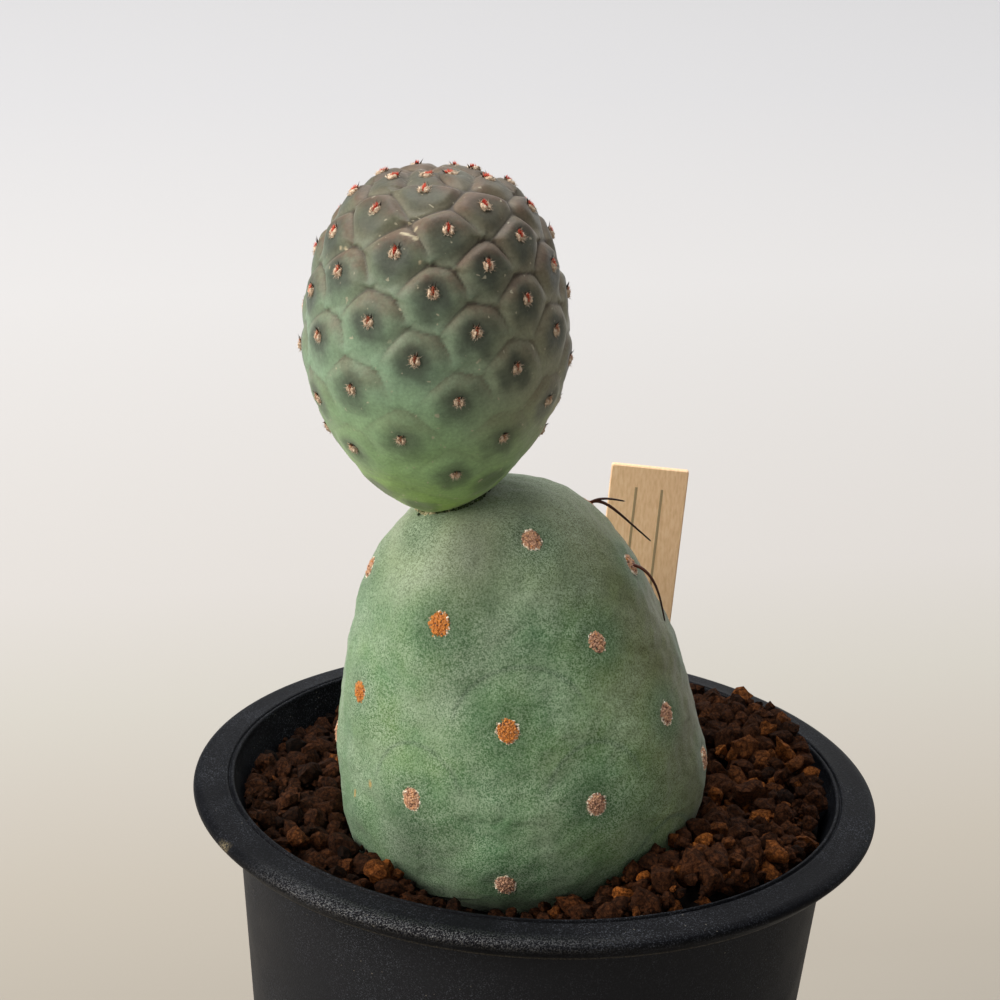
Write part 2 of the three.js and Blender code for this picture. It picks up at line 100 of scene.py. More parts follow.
# The two joints of the plant, as solids of revolution about their own leaning axes. The
# radius at the height s from the belt is radius * (1 - (s / reach) ^ power) ^ (1 / round).
# Areole n of the spiral turns by the divergence from the one before, and the skin above
# it has the area tight * n + spread * n * n. A few stray from it, by number, in degrees
# round and down.
OLD = {
    "belt": (-1.83, -7.0, 84.95), "lean": -0.167, "radius": 23.9, "heart": 13.7,
    "above": {"reach": 39.2, "power": 1.518, "round": 2.71},
    "below": {"reach": 20.0, "power": 2.4, "round": 1.8},
    "spiral": {"first": 2.78, "turn": 14.7, "divergence": -150.75, "tight": 136.7, "spread": 2.74},
    "strays": {0: (12, 8), 3: (8, -5), 5: (6, 3), 6: (1, -5), 8: (-1, -2), 12: (-4, 9), 13: (-4, 3),
               15: (-2, 2), 18: (-2, 4), 20: (-3, 4), 24: (0, -6), 27: (2, 1)},
    "apex_tilt": (-6.4, 2.2),
    "relief": {"crease": 0.5, "width": 0.4, "lift": 0.45, "cut": 0.0, "fine": 0.05, "seat": 0.3},
    "columns": 330, "rows": {"seen": 270, "buried": 14, "join": 0.72},
}
YOUNG = {
    "belt": (-15.21, -8.84, 141.96), "lean": -0.03, "radius": 16.8, "heart": 0.1,
    "above": {"reach": 22.05, "power": 1.87, "round": 3.285},
    "below": {"reach": 21.85, "power": 1.573, "round": 1.616},
    "spiral": {"first": 0.46, "turn": 35.9, "divergence": -157.885, "tight": 28.3, "spread": 0.262},
    "strays": {0: (-2, 6), 2: (0, 5), 3: (16, -9), 5: (13, -3), 8: (-7, -6), 10: (-1, -5), 15: (2, -3),
               17: (-1, -2), 21: (-3, 0), 33: (-4, 0), 42: (-2, 2), 49: (-6, 1), 56: (-9, -2),
               58: (-4, 3), 62: (7, 1), 64: (-10, 2), 65: (-8, -1), 67: (-1, 6), 69: (8, 0), 71: (12, 0),
               74: (-12, -1), 76: (12, 2)},
    "apex_tilt": (-5.5, 1.4),
    "relief": {"crease": 0.4, "width": 0.24, "lift": 0.8, "cut": 0.16, "fine": 0.045, "seat": 0.2},
    "columns": 360, "rows": {"seen": 250, "buried": 6, "join": 0.97},
}
SEAT = np.array([-11.7, -8.8, 122.6])
OLD_BARE = 9.0
YOUNG_BARE = 11.5
ROOT = {"top": 68.0, "bottom": 38.0, "offset": 3.0, "radius": 7.0, "tip": 1.2, "flare": 1.6}
STRETCH_ABOVE, STRETCH_BELOW = 1.35, 0.85
SCALE_CREST = 0.15

# The long spines, which the older joint keeps on two areoles: each leaves its areole,
# bends over near its foot and runs on almost straight
SPINES = [
    {"areole": 0, "length": 5.1, "azimuth": -4, "rise": 72, "fall": -6, "bend": 2.4},
    {"areole": 0, "length": 10.3, "azimuth": -4, "rise": 100, "fall": -39, "bend": 6.5},
    {"areole": 5, "length": 9.3, "azimuth": -25, "rise": 25, "fall": -74, "bend": 2.6},
]
SPINE = {"radius": 0.24, "taper": 0.6, "sides": 10, "steps": 48, "seat": 0.5}

# How orange the cork of the older joint's areoles is, by number, from 0 to 1. Two have
# healed over, and two yellowish flecks are left beside one of them.
CORK = {3: 0.32, 5: 0.36, 6: 0.4, 8: 0.98, 10: 0.34, 13: 0.9, 15: 0.88, 17: 0.28, 20: 0.42, 22: 0.28,
        27: 0.25}
PLAIN_CORK = 0.35
HEALED = (12, 25)
FLECKS = [((-21.0, -21.35, 87.55), 0.75), ((-22.9, -18.3, 84.8), 0.45)]

# Patches of painted shade and painted light, where the older joint's skin is made darker or lighter: the
# middle, how wide and how much
SHADE_AND_LIGHT_PATCHES = [
    ((-8.6, -18.6, 119.8), 3.6, -0.48), ((-8.9, -23.5, 112.9), 4.2, -0.34),
    ((-10.5, -26.2, 104.9), 3.4, -0.28), ((-15.4, -26.6, 83.3), 3.6, -0.45),
    ((7.1, -24.4, 103.9), 4.2, 0.35), ((12.5, -23.4, 96.3), 4.2, 0.55),
    ((12.1, -18.3, 106.2), 3.0, 0.4), ((17.8, -19.6, 80.2), 4.0, 0.45),
]

# Faint arches of painted shade over some of the older joint's areoles, where a crease would lie in shade: the
# number, the half width and the height, and how far aside their middle lies
SHADE_ARCHES = [(15, 8.5, 7.6, 1.6), (20, 6.6, 7.2, 0.2), (22, 6.8, 7.8, 0.5), (29, 7.0, 8.5, 2.5)]

# The young joint's scars: the number of an areole, the way aside and up from it, the half
# length and half width, and the tilt in degrees. Its corky seam runs down the right side.
SCARS = [
    (26, 0.9, 2.5, 0.9, 0.2, -6), (26, 2.0, 2.2, 0.42, 0.3, -30), (19, -3.9, 0.6, 0.36, 0.22, 40),
    (19, -4.6, 1.6, 0.26, 0.2, 20), (12, 1.9, 2.3, 0.65, 0.22, -35), (10, 3.4, 1.6, 0.4, 0.18, 15),
    (33, -1.5, 2.7, 0.3, 0.22, 60), (33, -0.8, 2.9, 0.28, 0.2, 0), (35, -1.6, 3.6, 0.3, 0.2, 80),
    (44, 0.4, 5.3, 0.26, 0.18, -50),
]
SEAM = {"turn": math.radians(-13), "width": 0.36, "low": -15.0, "high": -5.5}

# What stands on each areole: granules and hairs on the older joint, wool fibres, red and
# white bristles and tiny spines on the young one
GRANULES, RIM_GRAINS, HAIRS = 150, 90, 40
WOOL, RED_BRISTLES, WHITE_BRISTLES, TINY_SPINES = 100, 46, 7, 3
CRUST_CRUMBS = 420

# The label
LABEL = {"width": 10.5, "height": 60.0, "thickness": 0.9, "point": 9.0, "tip": 3.0, "lean": 2.8}
LABEL_TOP = np.array([13.2, 26.0, 115.0])
RULES = {"places": (-1.6, 1.9), "half": 0.16, "top": -3, "bottom": -42}


def linear(colour):
    """An sRGB hex colour as the linear red, green, blue and alpha that shaders take."""
    parts = [int(colour[i:i + 2], 16) / 255 for i in (1, 3, 5)]
    return tuple(c / 12.92 if c < 0.04045 else ((c + 0.055) / 1.055) ** 2.4 for c in parts) + (1.0,)


def add(tree, kind, *values, out=0, to=None, stops=None, **named):
    """Adds one shader node and gives its output. Values are sockets to link or numbers to
    set: plain ones fill the inputs in order, such as a MapRange's value, from and to range,
    and one named with a capital fills the input of that name. The other names are settings,
    stops are a colour ramp's places and colours, and to is the shader's socket to feed."""
    node = tree.nodes.new("ShaderNode" + kind)
    settings = [name for name in named if name[0].islower()]
    for name in settings:
        setattr(node, name, named.pop(name))
    if stops:
        ends = node.color_ramp.elements
        ends[0].position, ends[0].color = stops[0][0], linear(stops[0][1])
        ends[1].position, ends[1].color = stops[-1][0], linear(stops[-1][1])
        for place, colour in stops[1:-1]:
            ends.new(place).color = linear(colour)
    sockets = [node.inputs[name.replace("_", " ")] for name in named]
    for socket, value in [*zip(node.inputs, values), *zip(sockets, named.values())]:
        if isinstance(value, bpy.types.NodeSocket):
            tree.links.new(value, socket)
        else:
            socket.default_value = value
    if to:
        tree.links.new(node.outputs[out], tree.nodes["Principled BSDF"].inputs[to])
    return node.outputs[out]


def finish_named(name, **values):
    """A new material whose Principled shader has the even values set, and the function that
    adds a node to it."""
    material = bpy.data.materials.new(name)
    material.use_nodes = True
    for socket, value in values.items():
        inputs = material.node_tree.nodes["Principled BSDF"].inputs
        inputs[socket.replace("_", " ")].default_value = value
    return material, partial(add, material.node_tree)


def placed(name, data):
    """A new object in the scene."""
    thing = bpy.data.objects.new(name, data)
    bpy.context.scene.collection.objects.link(thing)
    return thing


def give_traits(mesh, traits):
    """Puts a number at each point under each trait's name, for the material to read."""
    for trait, values in traits.items():
        values = np.broadcast_to(values, len(mesh.vertices)).astype(np.float32)
        mesh.attributes.new(trait, "FLOAT", "POINT").data.foreach_set("value", values)


def mesh_piece(name, form, material, slot, nodes=(), smooth=True, **traits):
    """A mesh object that rides on the one body. Its form is millimetre points and arrays of
    faces, and for many like items the points of each, too. Traits are then one number for
    each item, and otherwise one for each point or for all."""
    points, faces, *each = form
    mesh = bpy.data.meshes.new(name)
    corners = np.concatenate([group.ravel() for group in faces])
    sizes = np.concatenate([np.full(len(group), group.shape[1]) for group in faces])
    mesh.vertices.add(len(points))
    mesh.vertices.foreach_set("co", (points * MM).astype(np.float32).ravel())
    mesh.loops.add(len(corners))
    mesh.loops.foreach_set("vertex_index", corners.astype(np.int32))
    mesh.polygons.add(len(sizes))
    mesh.polygons.foreach_set("loop_start", (np.cumsum(sizes) - sizes).astype(np.int32))
    mesh.polygons.foreach_set("use_smooth", np.full(len(sizes), smooth))
    if each:
        items = len(points) // each[0]
        traits = {trait: np.repeat(np.broadcast_to(values, items), each[0])
                  for trait, values in traits.items()}
    give_traits(mesh, traits)
    mesh.materials.append(material)
    mesh.update(calc_edges=True)
    mesh.validate()
    piece = placed(name, mesh)
    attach(piece, "root")
    if nodes:
        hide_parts(*nodes)
    return piece


def turns(count):
    """Angles spread evenly round a circle."""
    return np.arange(count) / count * 2 * np.pi


def closed_skin(start, rings, end):
    """A closed surface over rings of points (row, column, xyz), with a point in the middle
    of each end. Rings turn counter-clockwise as seen from the last one."""
    rows, columns = rings.shape[:2]
    points = np.concatenate([[start], rings.reshape(-1, 3), [end]])
    column = np.arange(columns)
    after = (column + 1) % columns
    low = 1 + np.arange(rows - 1)[:, None] * columns
    high = low + columns
    quads = np.stack([low + column, low + after, high + after, high + column], axis=-1).reshape(-1, 4)
    top = 1 + (rows - 1) * columns
    foot_fan = np.stack([np.zeros(columns, int), 1 + after, 1 + column], axis=-1)
    top_fan = np.stack([np.full(columns, len(points) - 1), top + column, top + after], axis=-1)
    return points, [quads, foot_fan, top_fan]


def copies(groups, count, each):
    """The faces of count like items that follow one another, with so many points each."""
    start = np.arange(count)[:, None, None] * each
    return [(group + start).reshape(-1, group.shape[1]) for group in groups]


def turned(profile, sides):
    """A profile of (radius, height) points carried round the Z axis."""
    turn = turns(sides)
    r, z = profile[:, :1], profile[:, 1:]
    return np.stack([r * np.cos(turn), r * np.sin(turn), z + 0 * turn], axis=-1)


def rounded(corners):
    """A smooth outline through (x, y, radius) corners: each corner becomes an arc-like bend,
    the curve start * (1-t)^2 + corner * 2t(1-t) + end * t^2 between the two points that lie
    the radius away from it on its sides."""
    corners = np.array(corners, float)
    points = [corners[0, :2]]
    for before, corner, after in zip(corners[:-2], corners[1:-1], corners[2:]):
        place, radius = corner[:2], corner[2]
        ends = []
        for other in (before[:2], after[:2]):
            side = other - place
            length = np.linalg.norm(side)
            ends.append(place + side / length * min(radius, 0.45 * length))
        t = np.linspace(0, 1, 8)[:, None]
        points.extend(ends[0] * (1 - t) ** 2 + place * 2 * t * (1 - t) + ends[1] * t ** 2)
    points.append(corners[-1, :2])
    return np.array(points)


def ripple(points, size, seed, octaves=3):
    """Smooth random waves from about -1 to 1: sums of sines along random directions whose
    wavelength starts at size and halves at each octave, while their height falls by 0.55."""
    random = np.random.default_rng(seed)
    total = np.zeros(points.shape[:-1])
    weight = 0.0
    for octave in range(octaves):
        strength = 0.55 ** octave
        for _ in range(4):
            direction = random.normal(size=3)
            direction *= 2 * np.pi * 2 ** octave / (size * np.linalg.norm(direction))
            total += strength * np.sin(points @ direction + random.uniform(0, 2 * np.pi))
        weight += strength
    return total / (2 * weight)


def smooth_step(low, high, value):
    """0 below low, 1 above high, and 3t^2 - 2t^3 between them."""
    t = np.clip((value - low) / (high - low), 0, 1)
    return t * t * (3 - 2 * t)


def mounds(spots, x, y):
    """The sum of bell-shaped mounds, height * exp(-distance^2 / (2 * spread^2))."""
    return sum(spot["height"] * np.exp(-((x - spot["x"]) ** 2 + (y - spot["y"]) ** 2)
                                       / (2 * spot["spread"] ** 2)) for spot in spots)


def unit(vectors):
    return vectors / np.linalg.norm(vectors, axis=-1, keepdims=True)


# The plant's forms

def axes_of(joint):
    """The rows are the joint's own axes: two across it and the one that it leans along."""
    along = unit(np.array([math.tan(joint["lean"]), 0, 1]))
    across = unit(np.cross([0, 1, 0], along))
    return np.array([across, np.cross(along, across), along])


def half_of(joint, upper):
    """The reach, power and rounding of a joint's upper half, or of its lower one."""
    return (np.where(upper, joint["above"][key], joint["below"][key]) for key in ("reach", "power", "round"))


def meridian(joint, place):
    """The radius and the height from the belt at places from 0, the tip, to 1, the foot.
    The height is cos(pi * place) * reach."""
    wave = np.cos(np.pi * np.asarray(place, float))
    reach, power, rounding = half_of(joint, wave > 0)
    return joint["radius"] * (1 - np.minimum(np.abs(wave), 1) ** power) ** (1 / rounding), wave * reach


def skin_at(joint, place, turn):
    """The smooth skin's points and outward normals at places along the meridian and turns
    round the axis."""
    step = 0.002
    r, s = meridian(joint, place)
    r0, s0 = meridian(joint, np.clip(place - step, 0, 1))
    r1, s1 = meridian(joint, np.clip(place + step, 0, 1))
    length = np.hypot(r1 - r0, s1 - s0)
    out, up = (s0 - s1) / length, (r1 - r0) / length
    axes = axes_of(joint)
    round_x, round_y = np.cos(turn), np.sin(turn)
    points = np.stack([r * round_x, r * round_y, s], axis=-1) @ axes + np.array(joint["belt"])
    return points, np.stack([out * round_x, out * round_y, up], axis=-1) @ axes


def areoles_of(joint):
    """The areoles in spiral order from the tip, each with its number, point, normal, upward
    and sideways direction and the size of its tubercle."""
    places = np.linspace(0, 1, 601)
    r, s = meridian(joint, places)
    bands = np.pi * (r[1:] + r[:-1]) * np.hypot(np.diff(r), np.diff(s))
    area = np.concatenate([[0], np.cumsum(bands)])
    spiral = joint["spiral"]
    order = spiral["first"] + np.arange(400)
    above = spiral["tight"] * order + spiral["spread"] * order ** 2
    order = order[above <= 0.985 * area[-1]]
    number = np.arange(len(order))
    strays = np.radians([joint["strays"].get(k, (0, 0)) for k in number])
    r, s = meridian(joint, np.interp(above[number], area, places))
    angle = np.arctan2(r, s - joint["heart"]) + strays[:, 1]
    turn = np.radians(spiral["turn"] + spiral["divergence"] * number) + strays[:, 0]
    direction = np.stack([np.sin(angle) * np.cos(turn), np.sin(angle) * np.sin(turn), np.cos(angle)], axis=-1)
    for tilt, axis in zip(np.radians(joint["apex_tilt"]), "XY"):
        direction = direction @ np.array(Matrix.Rotation(tilt, 3, axis)).T
    fine = np.linspace(0, 1, 4001)
    r, s = meridian(joint, fine)
    place = np.interp(np.arccos(np.clip(direction[:, 2], -1, 1)), np.arctan2(r, s - joint["heart"]), fine)
    points, normals = skin_at(joint, place, np.arctan2(direction[:, 1], direction[:, 0]))
    along = axes_of(joint)[2]
    up = unit(along - (normals @ along)[:, None] * normals)
    return {
        "number": number, "point": points, "normal": normals, "up": up, "side": np.cross(up, normals),
        "size": np.sqrt(spiral["tight"] + 2 * spiral["spread"] * order), "place": place,
    }


def relief_of(joint, areoles, points):
    """The heights of the tubercles and of the creases between them over the smooth form,
    and each point's traits: its reach from the nearest areole, its rise over it and the
    line of the crease. Distances are measured longer above an areole than below, in sizes
    of its tubercle. The nearest areole rules, and the gap is how much farther the next two
    are, taken together as (b^-8 + c^-8)^(-1/8), which rounds the corners. A tubercle is a
    parabola up its middle with its crest at the rise SCALE_CREST, and falls off towards its
    edge as 1 - exp(-(gap / width)^2). The brow, the arch over an areole, cuts deepest."""
    centre, up, size = areoles["point"], areoles["up"], areoles["size"]
    way_up = points @ up.T - (centre * up).sum(axis=1)
    apart = (points ** 2).sum(axis=1)[:, None] + (centre ** 2).sum(axis=1) - 2 * points @ centre.T
    stretch = np.where(way_up > 0, STRETCH_ABOVE, STRETCH_BELOW)
    far = np.sqrt(np.maximum(apart + (stretch ** 2 - 1) * way_up ** 2, 0)) / size
    rank = np.argsort(far, axis=1)[:, :3]
    first, second, third = np.take_along_axis(far, rank, axis=1).T
    rise, other_rise, _ = (np.take_along_axis(way_up, rank, axis=1) / size[rank]).T
    reach = np.sqrt(np.maximum(np.take_along_axis(apart, rank[:, :1], axis=1)[:, 0], 0))
    gap = np.maximum((second ** -8 + third ** -8) ** -0.125 - first, 0)
    shape = joint["relief"]
    inside = 1 - np.exp(-(gap / shape["width"]) ** 2)
    brow = smooth_step(-0.12, 0.26, np.maximum(rise, other_rise))
    off_crest = np.clip(rise, -0.65, 0.42) - SCALE_CREST
    slope = np.where(off_crest < 0, 1.3, 3.2) * off_crest ** 2
    line = np.exp(-(gap / shape["fine"]) ** 2) * brow
    lift = -shape["lift"] * (inside * slope + 0.35 * (1 - inside))
    crease = -shape["crease"] * (1 - inside) * (0.25 + 0.75 * brow) - shape["cut"] * line
    return lift, crease, {"reach": reach, "rise": rise, "line": line, "groove": (1 - inside) * brow}


def dressed_joint(joint, lifted, creased, waves):
    """The form, traits, areoles and smooth points of a joint's skin. The skin is the smooth
    form on a grid of turns and of places, close where they show, raised along its normal by
    the tubercles and creases, which fade as lifted(s) and creased(s) say, by a dimple at
    each areole and by slow waves."""
    areoles = areoles_of(joint)
    rows = joint["rows"]
    buried = np.linspace(1, rows["join"], rows["buried"], endpoint=False)[1:]
    seen = np.linspace(rows["join"], 0, rows["seen"], endpoint=False)
    place, turn = np.meshgrid(np.concatenate([buried, seen]), turns(joint["columns"]), indexing="ij")
    points, normals = skin_at(joint, place, turn)
    flat, out = points.reshape(-1, 3), normals.reshape(-1, 3)
    lift, crease, traits = relief_of(joint, areoles, flat)
    s = meridian(joint, place.ravel())[1]
    height = lifted(s) * lift + creased(s) * crease
    height -= joint["relief"]["seat"] * np.exp(-(traits["reach"] / 1.5) ** 2)
    height += waves * ripple(flat, 11.0, 5) + 0.25 * waves * ripple(flat, 2.6, 6)
    dressed = (flat + height[:, None] * out).reshape(points.shape)
    poles, pole_out = skin_at(joint, np.array([1.0, 0.0]), np.zeros(2))
    poles = poles + pole_out * height[[0, -1]][:, None]
    for name in ("line", "groove"):
        traits[name] = traits[name] * creased(s)
    traits["climb"] = (s + joint["below"]["reach"]) / (joint["below"]["reach"] + joint["above"]["reach"])
    own_lift, own_crease, _ = relief_of(joint, areoles, areoles["point"])
    own_s = meridian(joint, areoles["place"])[1]
    stand = lifted(own_s) * own_lift + creased(own_s) * own_crease - joint["relief"]["seat"]
    areoles["root"] = areoles["point"] + stand[:, None] * areoles["normal"]
    return closed_skin(poles[0], dressed, poles[1]), traits, areoles, flat


def with_poles(traits):
    """The traits of a grid of points, with those of the points in the middle of each end."""
    return {name: np.concatenate([values[:1], values, values[-1:]]) for name, values in traits.items()}


def scar_at(points, centre, along, long, wide, seed):
    """1 on an oval scar at the centre that runs along a direction, falling to 0 round it,
    with a ragged edge."""
    offset = points - centre
    lengthwise = offset @ along
    across = np.sqrt(np.maximum((offset ** 2).sum(axis=1) - lengthwise ** 2, 0))
    far = np.hypot(lengthwise / long, across / wide) + 0.25 * ripple(points, 0.9, seed)
    return smooth_step(1.25, 0.7, far)


def picked(areoles, keep):
    """The areoles of the given numbers, or those for which keep is true."""
    return {name: values[keep] for name, values in areoles.items()}


def tufts(areoles, count, width, tall, seed):
    """The roots, frames and places of count fibres on each areole, spread evenly over an
    oval of the given half width and half height: fibre k lies at the share sqrt(k / count)
    of the way out and at k golden angles round."""
    random = np.random.default_rng(seed)
    k = np.arange(count)
    out = np.sqrt((k + 0.5) / count)
    turn = k * GOLDEN_ANGLE + random.uniform(0, 6, (len(areoles["root"]), 1))
    x, y = out * np.cos(turn) * width, out * np.sin(turn) * tall
    x += random.normal(0, 0.06, x.shape)
    y += random.normal(0, 0.06, y.shape)
    side, up, normal = (areoles[name][:, None] for name in ("side", "up", "normal"))
    roots = areoles["root"][:, None] + x[..., None] * side + y[..., None] * up
    return random, roots, (side, up, normal), (x / width, y / tall)


def fibres(root, along, length, radius, bow=0.0, sides=3, steps=2):
    """Tapering fibres as closed meshes: the point a share t up a fibre is
    root + length * (t * along + t^2 * bow), and its radius falls evenly to the tip."""
    root, along, bow = (np.broadcast_to(way, along.shape).reshape(-1, 3) for way in (root, along, bow))
    length, radius = (np.broadcast_to(value, len(root)).reshape(-1, 1, 1) for value in (length, radius))
    across = unit(np.cross(along, np.where(np.abs(along[:, 2:]) > 0.9, [[1.0, 0, 0]], [[0, 0, 1.0]])))
    third = np.cross(along, across)
    turn = turns(sides)
    rim = across[:, None] * np.cos(turn)[:, None] + third[:, None] * np.sin(turn)[:, None]
    rings = []
    for t in np.arange(steps) / steps:
        centre = root[:, None] + length * (t * along[:, None] + t * t * bow[:, None])
        rings.append(centre + radius * (1 - t) * rim)
    tip = root[:, None] + length * (along[:, None] + bow[:, None])
    points = np.concatenate(rings + [tip], axis=1)
    one = steps * sides + 1
    column = np.arange(sides)
    after = (column + 1) % sides
    low = np.arange(steps - 1)[:, None] * sides
    quads = np.stack([low + column, low + after, low + sides + after, low + sides + column], axis=-1)
    last = (steps - 1) * sides
    fan = np.stack([last + column, last + after, np.full(sides, one - 1)], axis=-1)
    groups = [quads.reshape(-1, 4), fan, column[None, ::-1]]
    return points.reshape(-1, 3), copies(groups, len(root), one), one


def domes(areoles, width, tall, height, seed, lumpiness):
    """A closed lumpy cushion on each areole: the upper part of an oval ball, with a foot
    sunk under the skin. Ring i of 7 lies at the polar angle a = 110 degrees * i / 7. The
    rings run from the top down, so each face is turned round."""
    rings, sides = 7, 18
    angle = np.radians(110) * np.arange(1, rings + 1)[:, None] / rings
    turn = turns(sides)
    ball = np.stack([np.sin(angle) * np.cos(turn), np.sin(angle) * np.sin(turn), np.cos(angle) + 0 * turn],
                    axis=-1)
    ball, (quads, *fans) = closed_skin([0, 0, 1], ball, [0, 0, -0.4])
    groups = [np.roll(group[:, ::-1], 1, axis=1) for group in (quads, np.concatenate(fans))]
    random = np.random.default_rng(seed)
    shift = random.uniform(-50, 50, (len(areoles["root"]), 1, 3))
    local = ball * (1 + lumpiness * ripple(ball * 2.0 + shift, 2.2, seed))[..., None]
    frame_of = np.stack([areoles["side"], areoles["up"], areoles["normal"]], axis=1)
    size = np.stack(np.broadcast_arrays(width, tall, height), axis=-1).reshape(-1, 1, 3)
    points = areoles["root"][:, None] + (local * size) @ frame_of
    return points.reshape(-1, 3), copies(groups, len(local), len(ball)), len(ball)


def crumbs(centres, radius, seed, fine, planes=9, rough=0.1):
    """Angular crumbs: a ball's points, each drawn in to where its ray meets the nearest of
    a few random planes, then roughened and stretched a little."""
    ball = bmesh.new()
    bmesh.ops.create_icosphere(ball, subdivisions=fine, radius=1.0)
    rays = np.array([v.co for v in ball.verts])
    triangles = np.array([[v.index for v in f.verts] for f in ball.faces])
    ball.free()
    random = np.random.default_rng(seed)
    count = len(centres)
    facings = unit(random.normal(size=(count, planes, 3)))
    depth = random.uniform(0.62, 1.0, (count, planes, 1))
    reach = np.minimum((depth / np.maximum(facings @ rays.T, 0.08)).min(axis=1), 1.25)
    reach *= 1 + random.normal(0, rough, reach.shape)
    stretch = random.uniform(0.8, 1.2, (count, 1, 3))
    spin = np.linalg.qr(random.normal(size=(count, 3, 3)))[0]
    spin *= np.sign(np.linalg.det(spin))[:, None, None]
    points = (rays * reach[..., None] * stretch) @ spin * radius[:, None, None] + centres[:, None]
    return points.reshape(-1, 3), copies([triangles], count, len(rays)), len(rays)


# The finishes

def pot_plastic():
    """Polypropylene, injection moulded: black and satin, with a faint orange peel, thin dust in patches, fine
    pale scratches that are partly painted glints, scuffed grains that glint along the lip, a dusty parting
    line under the lip that is partly a painted highlight, painted light on the outer wall below the lip,
    which is a lighter grey, and a dried splash of mud."""
    material, node = finish_named("black_polypropylene", Roughness=0.44, IOR=1.49)
    place = node("TexCoord", out="Object")
    scuff, seam, mud, wall = (node("Attribute", out="Fac", attribute_name=name)
                              for name in ("scuff", "seam", "mud", "wall"))
    peel = node("TexNoise", place, Scale=1 / (0.22 * MM), Detail=2.0)
    patches = node("TexNoise", place, Scale=1 / (14 * MM), Detail=6.0, Roughness=0.65)
    dusty = node("MapRange", patches, 0.45, 0.8, 0.0, 0.6)
    specks = node("TexVoronoi", place, Scale=1 / (1.3 * MM))
    tiny = node("Math", specks, 0.075, operation="LESS_THAN")
    rare = node("Math", patches, 0.5, operation="GREATER_THAN")
    dust = node("Math", tiny, rare, operation="MULTIPLY")
    # Fine pale scratches in patches, partly painted glints.
    rubbed = node("TexNoise", place, Scale=1 / (0.17 * MM), Detail=1.0, Distortion=0.9)
    fine = node("MapRange", rubbed, 0.57, 0.67)
    often = node("MapRange", patches, 0.4, 0.6, 0.15, 0.75)
    scratch_and_glint = node("Math", fine, often, operation="MULTIPLY")
    broken = node("MapRange", peel, 0.4, 0.6)
    # The parting line under the lip, painted pale: partly dust, partly a painted highlight.
    parting_dust_and_highlight = node("Math", seam, broken, operation="MULTIPLY")
    caked = node("Math", mud, broken, operation="MULTIPLY")
    colour = linear("#0b0c0f")
    # The outer wall below the lip is mixed to a lighter grey: painted light on the same plastic.
    for amount, tone in ((wall, "#202124"), (dusty, "#1a1b1e"), (scratch_and_glint, "#484b52"), (dust, "#57544e"),
                         (parting_dust_and_highlight, "#5a554c"), (caked, "#7a705a")):
        colour = node("MixRGB", amount, colour, linear(tone), to="Base Color")
    rough = node("MapRange", patches, 0.3, 0.7, 0.42, 0.6)
    polished = node("Math", scuff, 0.12, operation="MULTIPLY")
    node("Math", rough, polished, operation="SUBTRACT", to="Roughness")
    flake = node("MapRange", peel, 0.47, 0.6)
    sparkle = node("Math", scuff, flake, operation="MULTIPLY")
    node("MapRange", sparkle, 0.0, 1.0, 0.045, 0.75, to="Specular IOR Level")
    depth = node("MapRange", scuff, 0.0, 1.0, 0.35, 2.2)
    grain = node("Math", peel, depth, operation="MULTIPLY")
    node("Bump", Height=grain, Strength=0.8, Distance=0.12 * MM, to="Normal")
    return material


def clay(name, dark, warm, dry):
    """Fired clay grains, crumbled: dull, porous and reddish brown, with each grain's own tone, gritty and
    pitted, and split by fine cracks darkened with painted shade."""
    material, node = finish_named(name, Roughness=0.95, IOR=1.45, Specular_IOR_Level=0.12)
    place = node("TexCoord", out="Object")
    tone = node("Attribute", out="Fac", attribute_name="tone")
    base = node("ValToRGB", tone, stops=[(0.0, dark), (0.6, warm), (1.0, dry)])
    grit = node("TexNoise", place, Scale=1 / (0.4 * MM), Detail=6.0, Roughness=0.8)
    bend = node("VectorMath", grit.node.outputs["Color"], Scale=1.4 * MM, operation="SCALE")
    bent = node("VectorMath", place, bend, operation="ADD")
    lumps = node("TexVoronoi", bent, Scale=1 / (0.9 * MM), feature="DISTANCE_TO_EDGE")
    whole = node("MapRange", lumps, 0.0, 0.1)
    shade = node("MapRange", grit, 0.38, 0.62, 0.35, 1.5)
    # The cracks between the lumps are darkened: painted shade in them.
    crack_shade = node("MapRange", whole, 0.0, 1.0, 0.45)
    both = node("Math", shade, crack_shade, operation="MULTIPLY")
    node("VectorMath", base, Scale=both, operation="SCALE", to="Base Color")
    rise = node("Math", whole, 0.35, operation="MULTIPLY")
    height = node("Math", grit, rise, operation="ADD")
    node("Bump", Height=height, Strength=1.0, Distance=0.8 * MM, to="Normal")
    return material


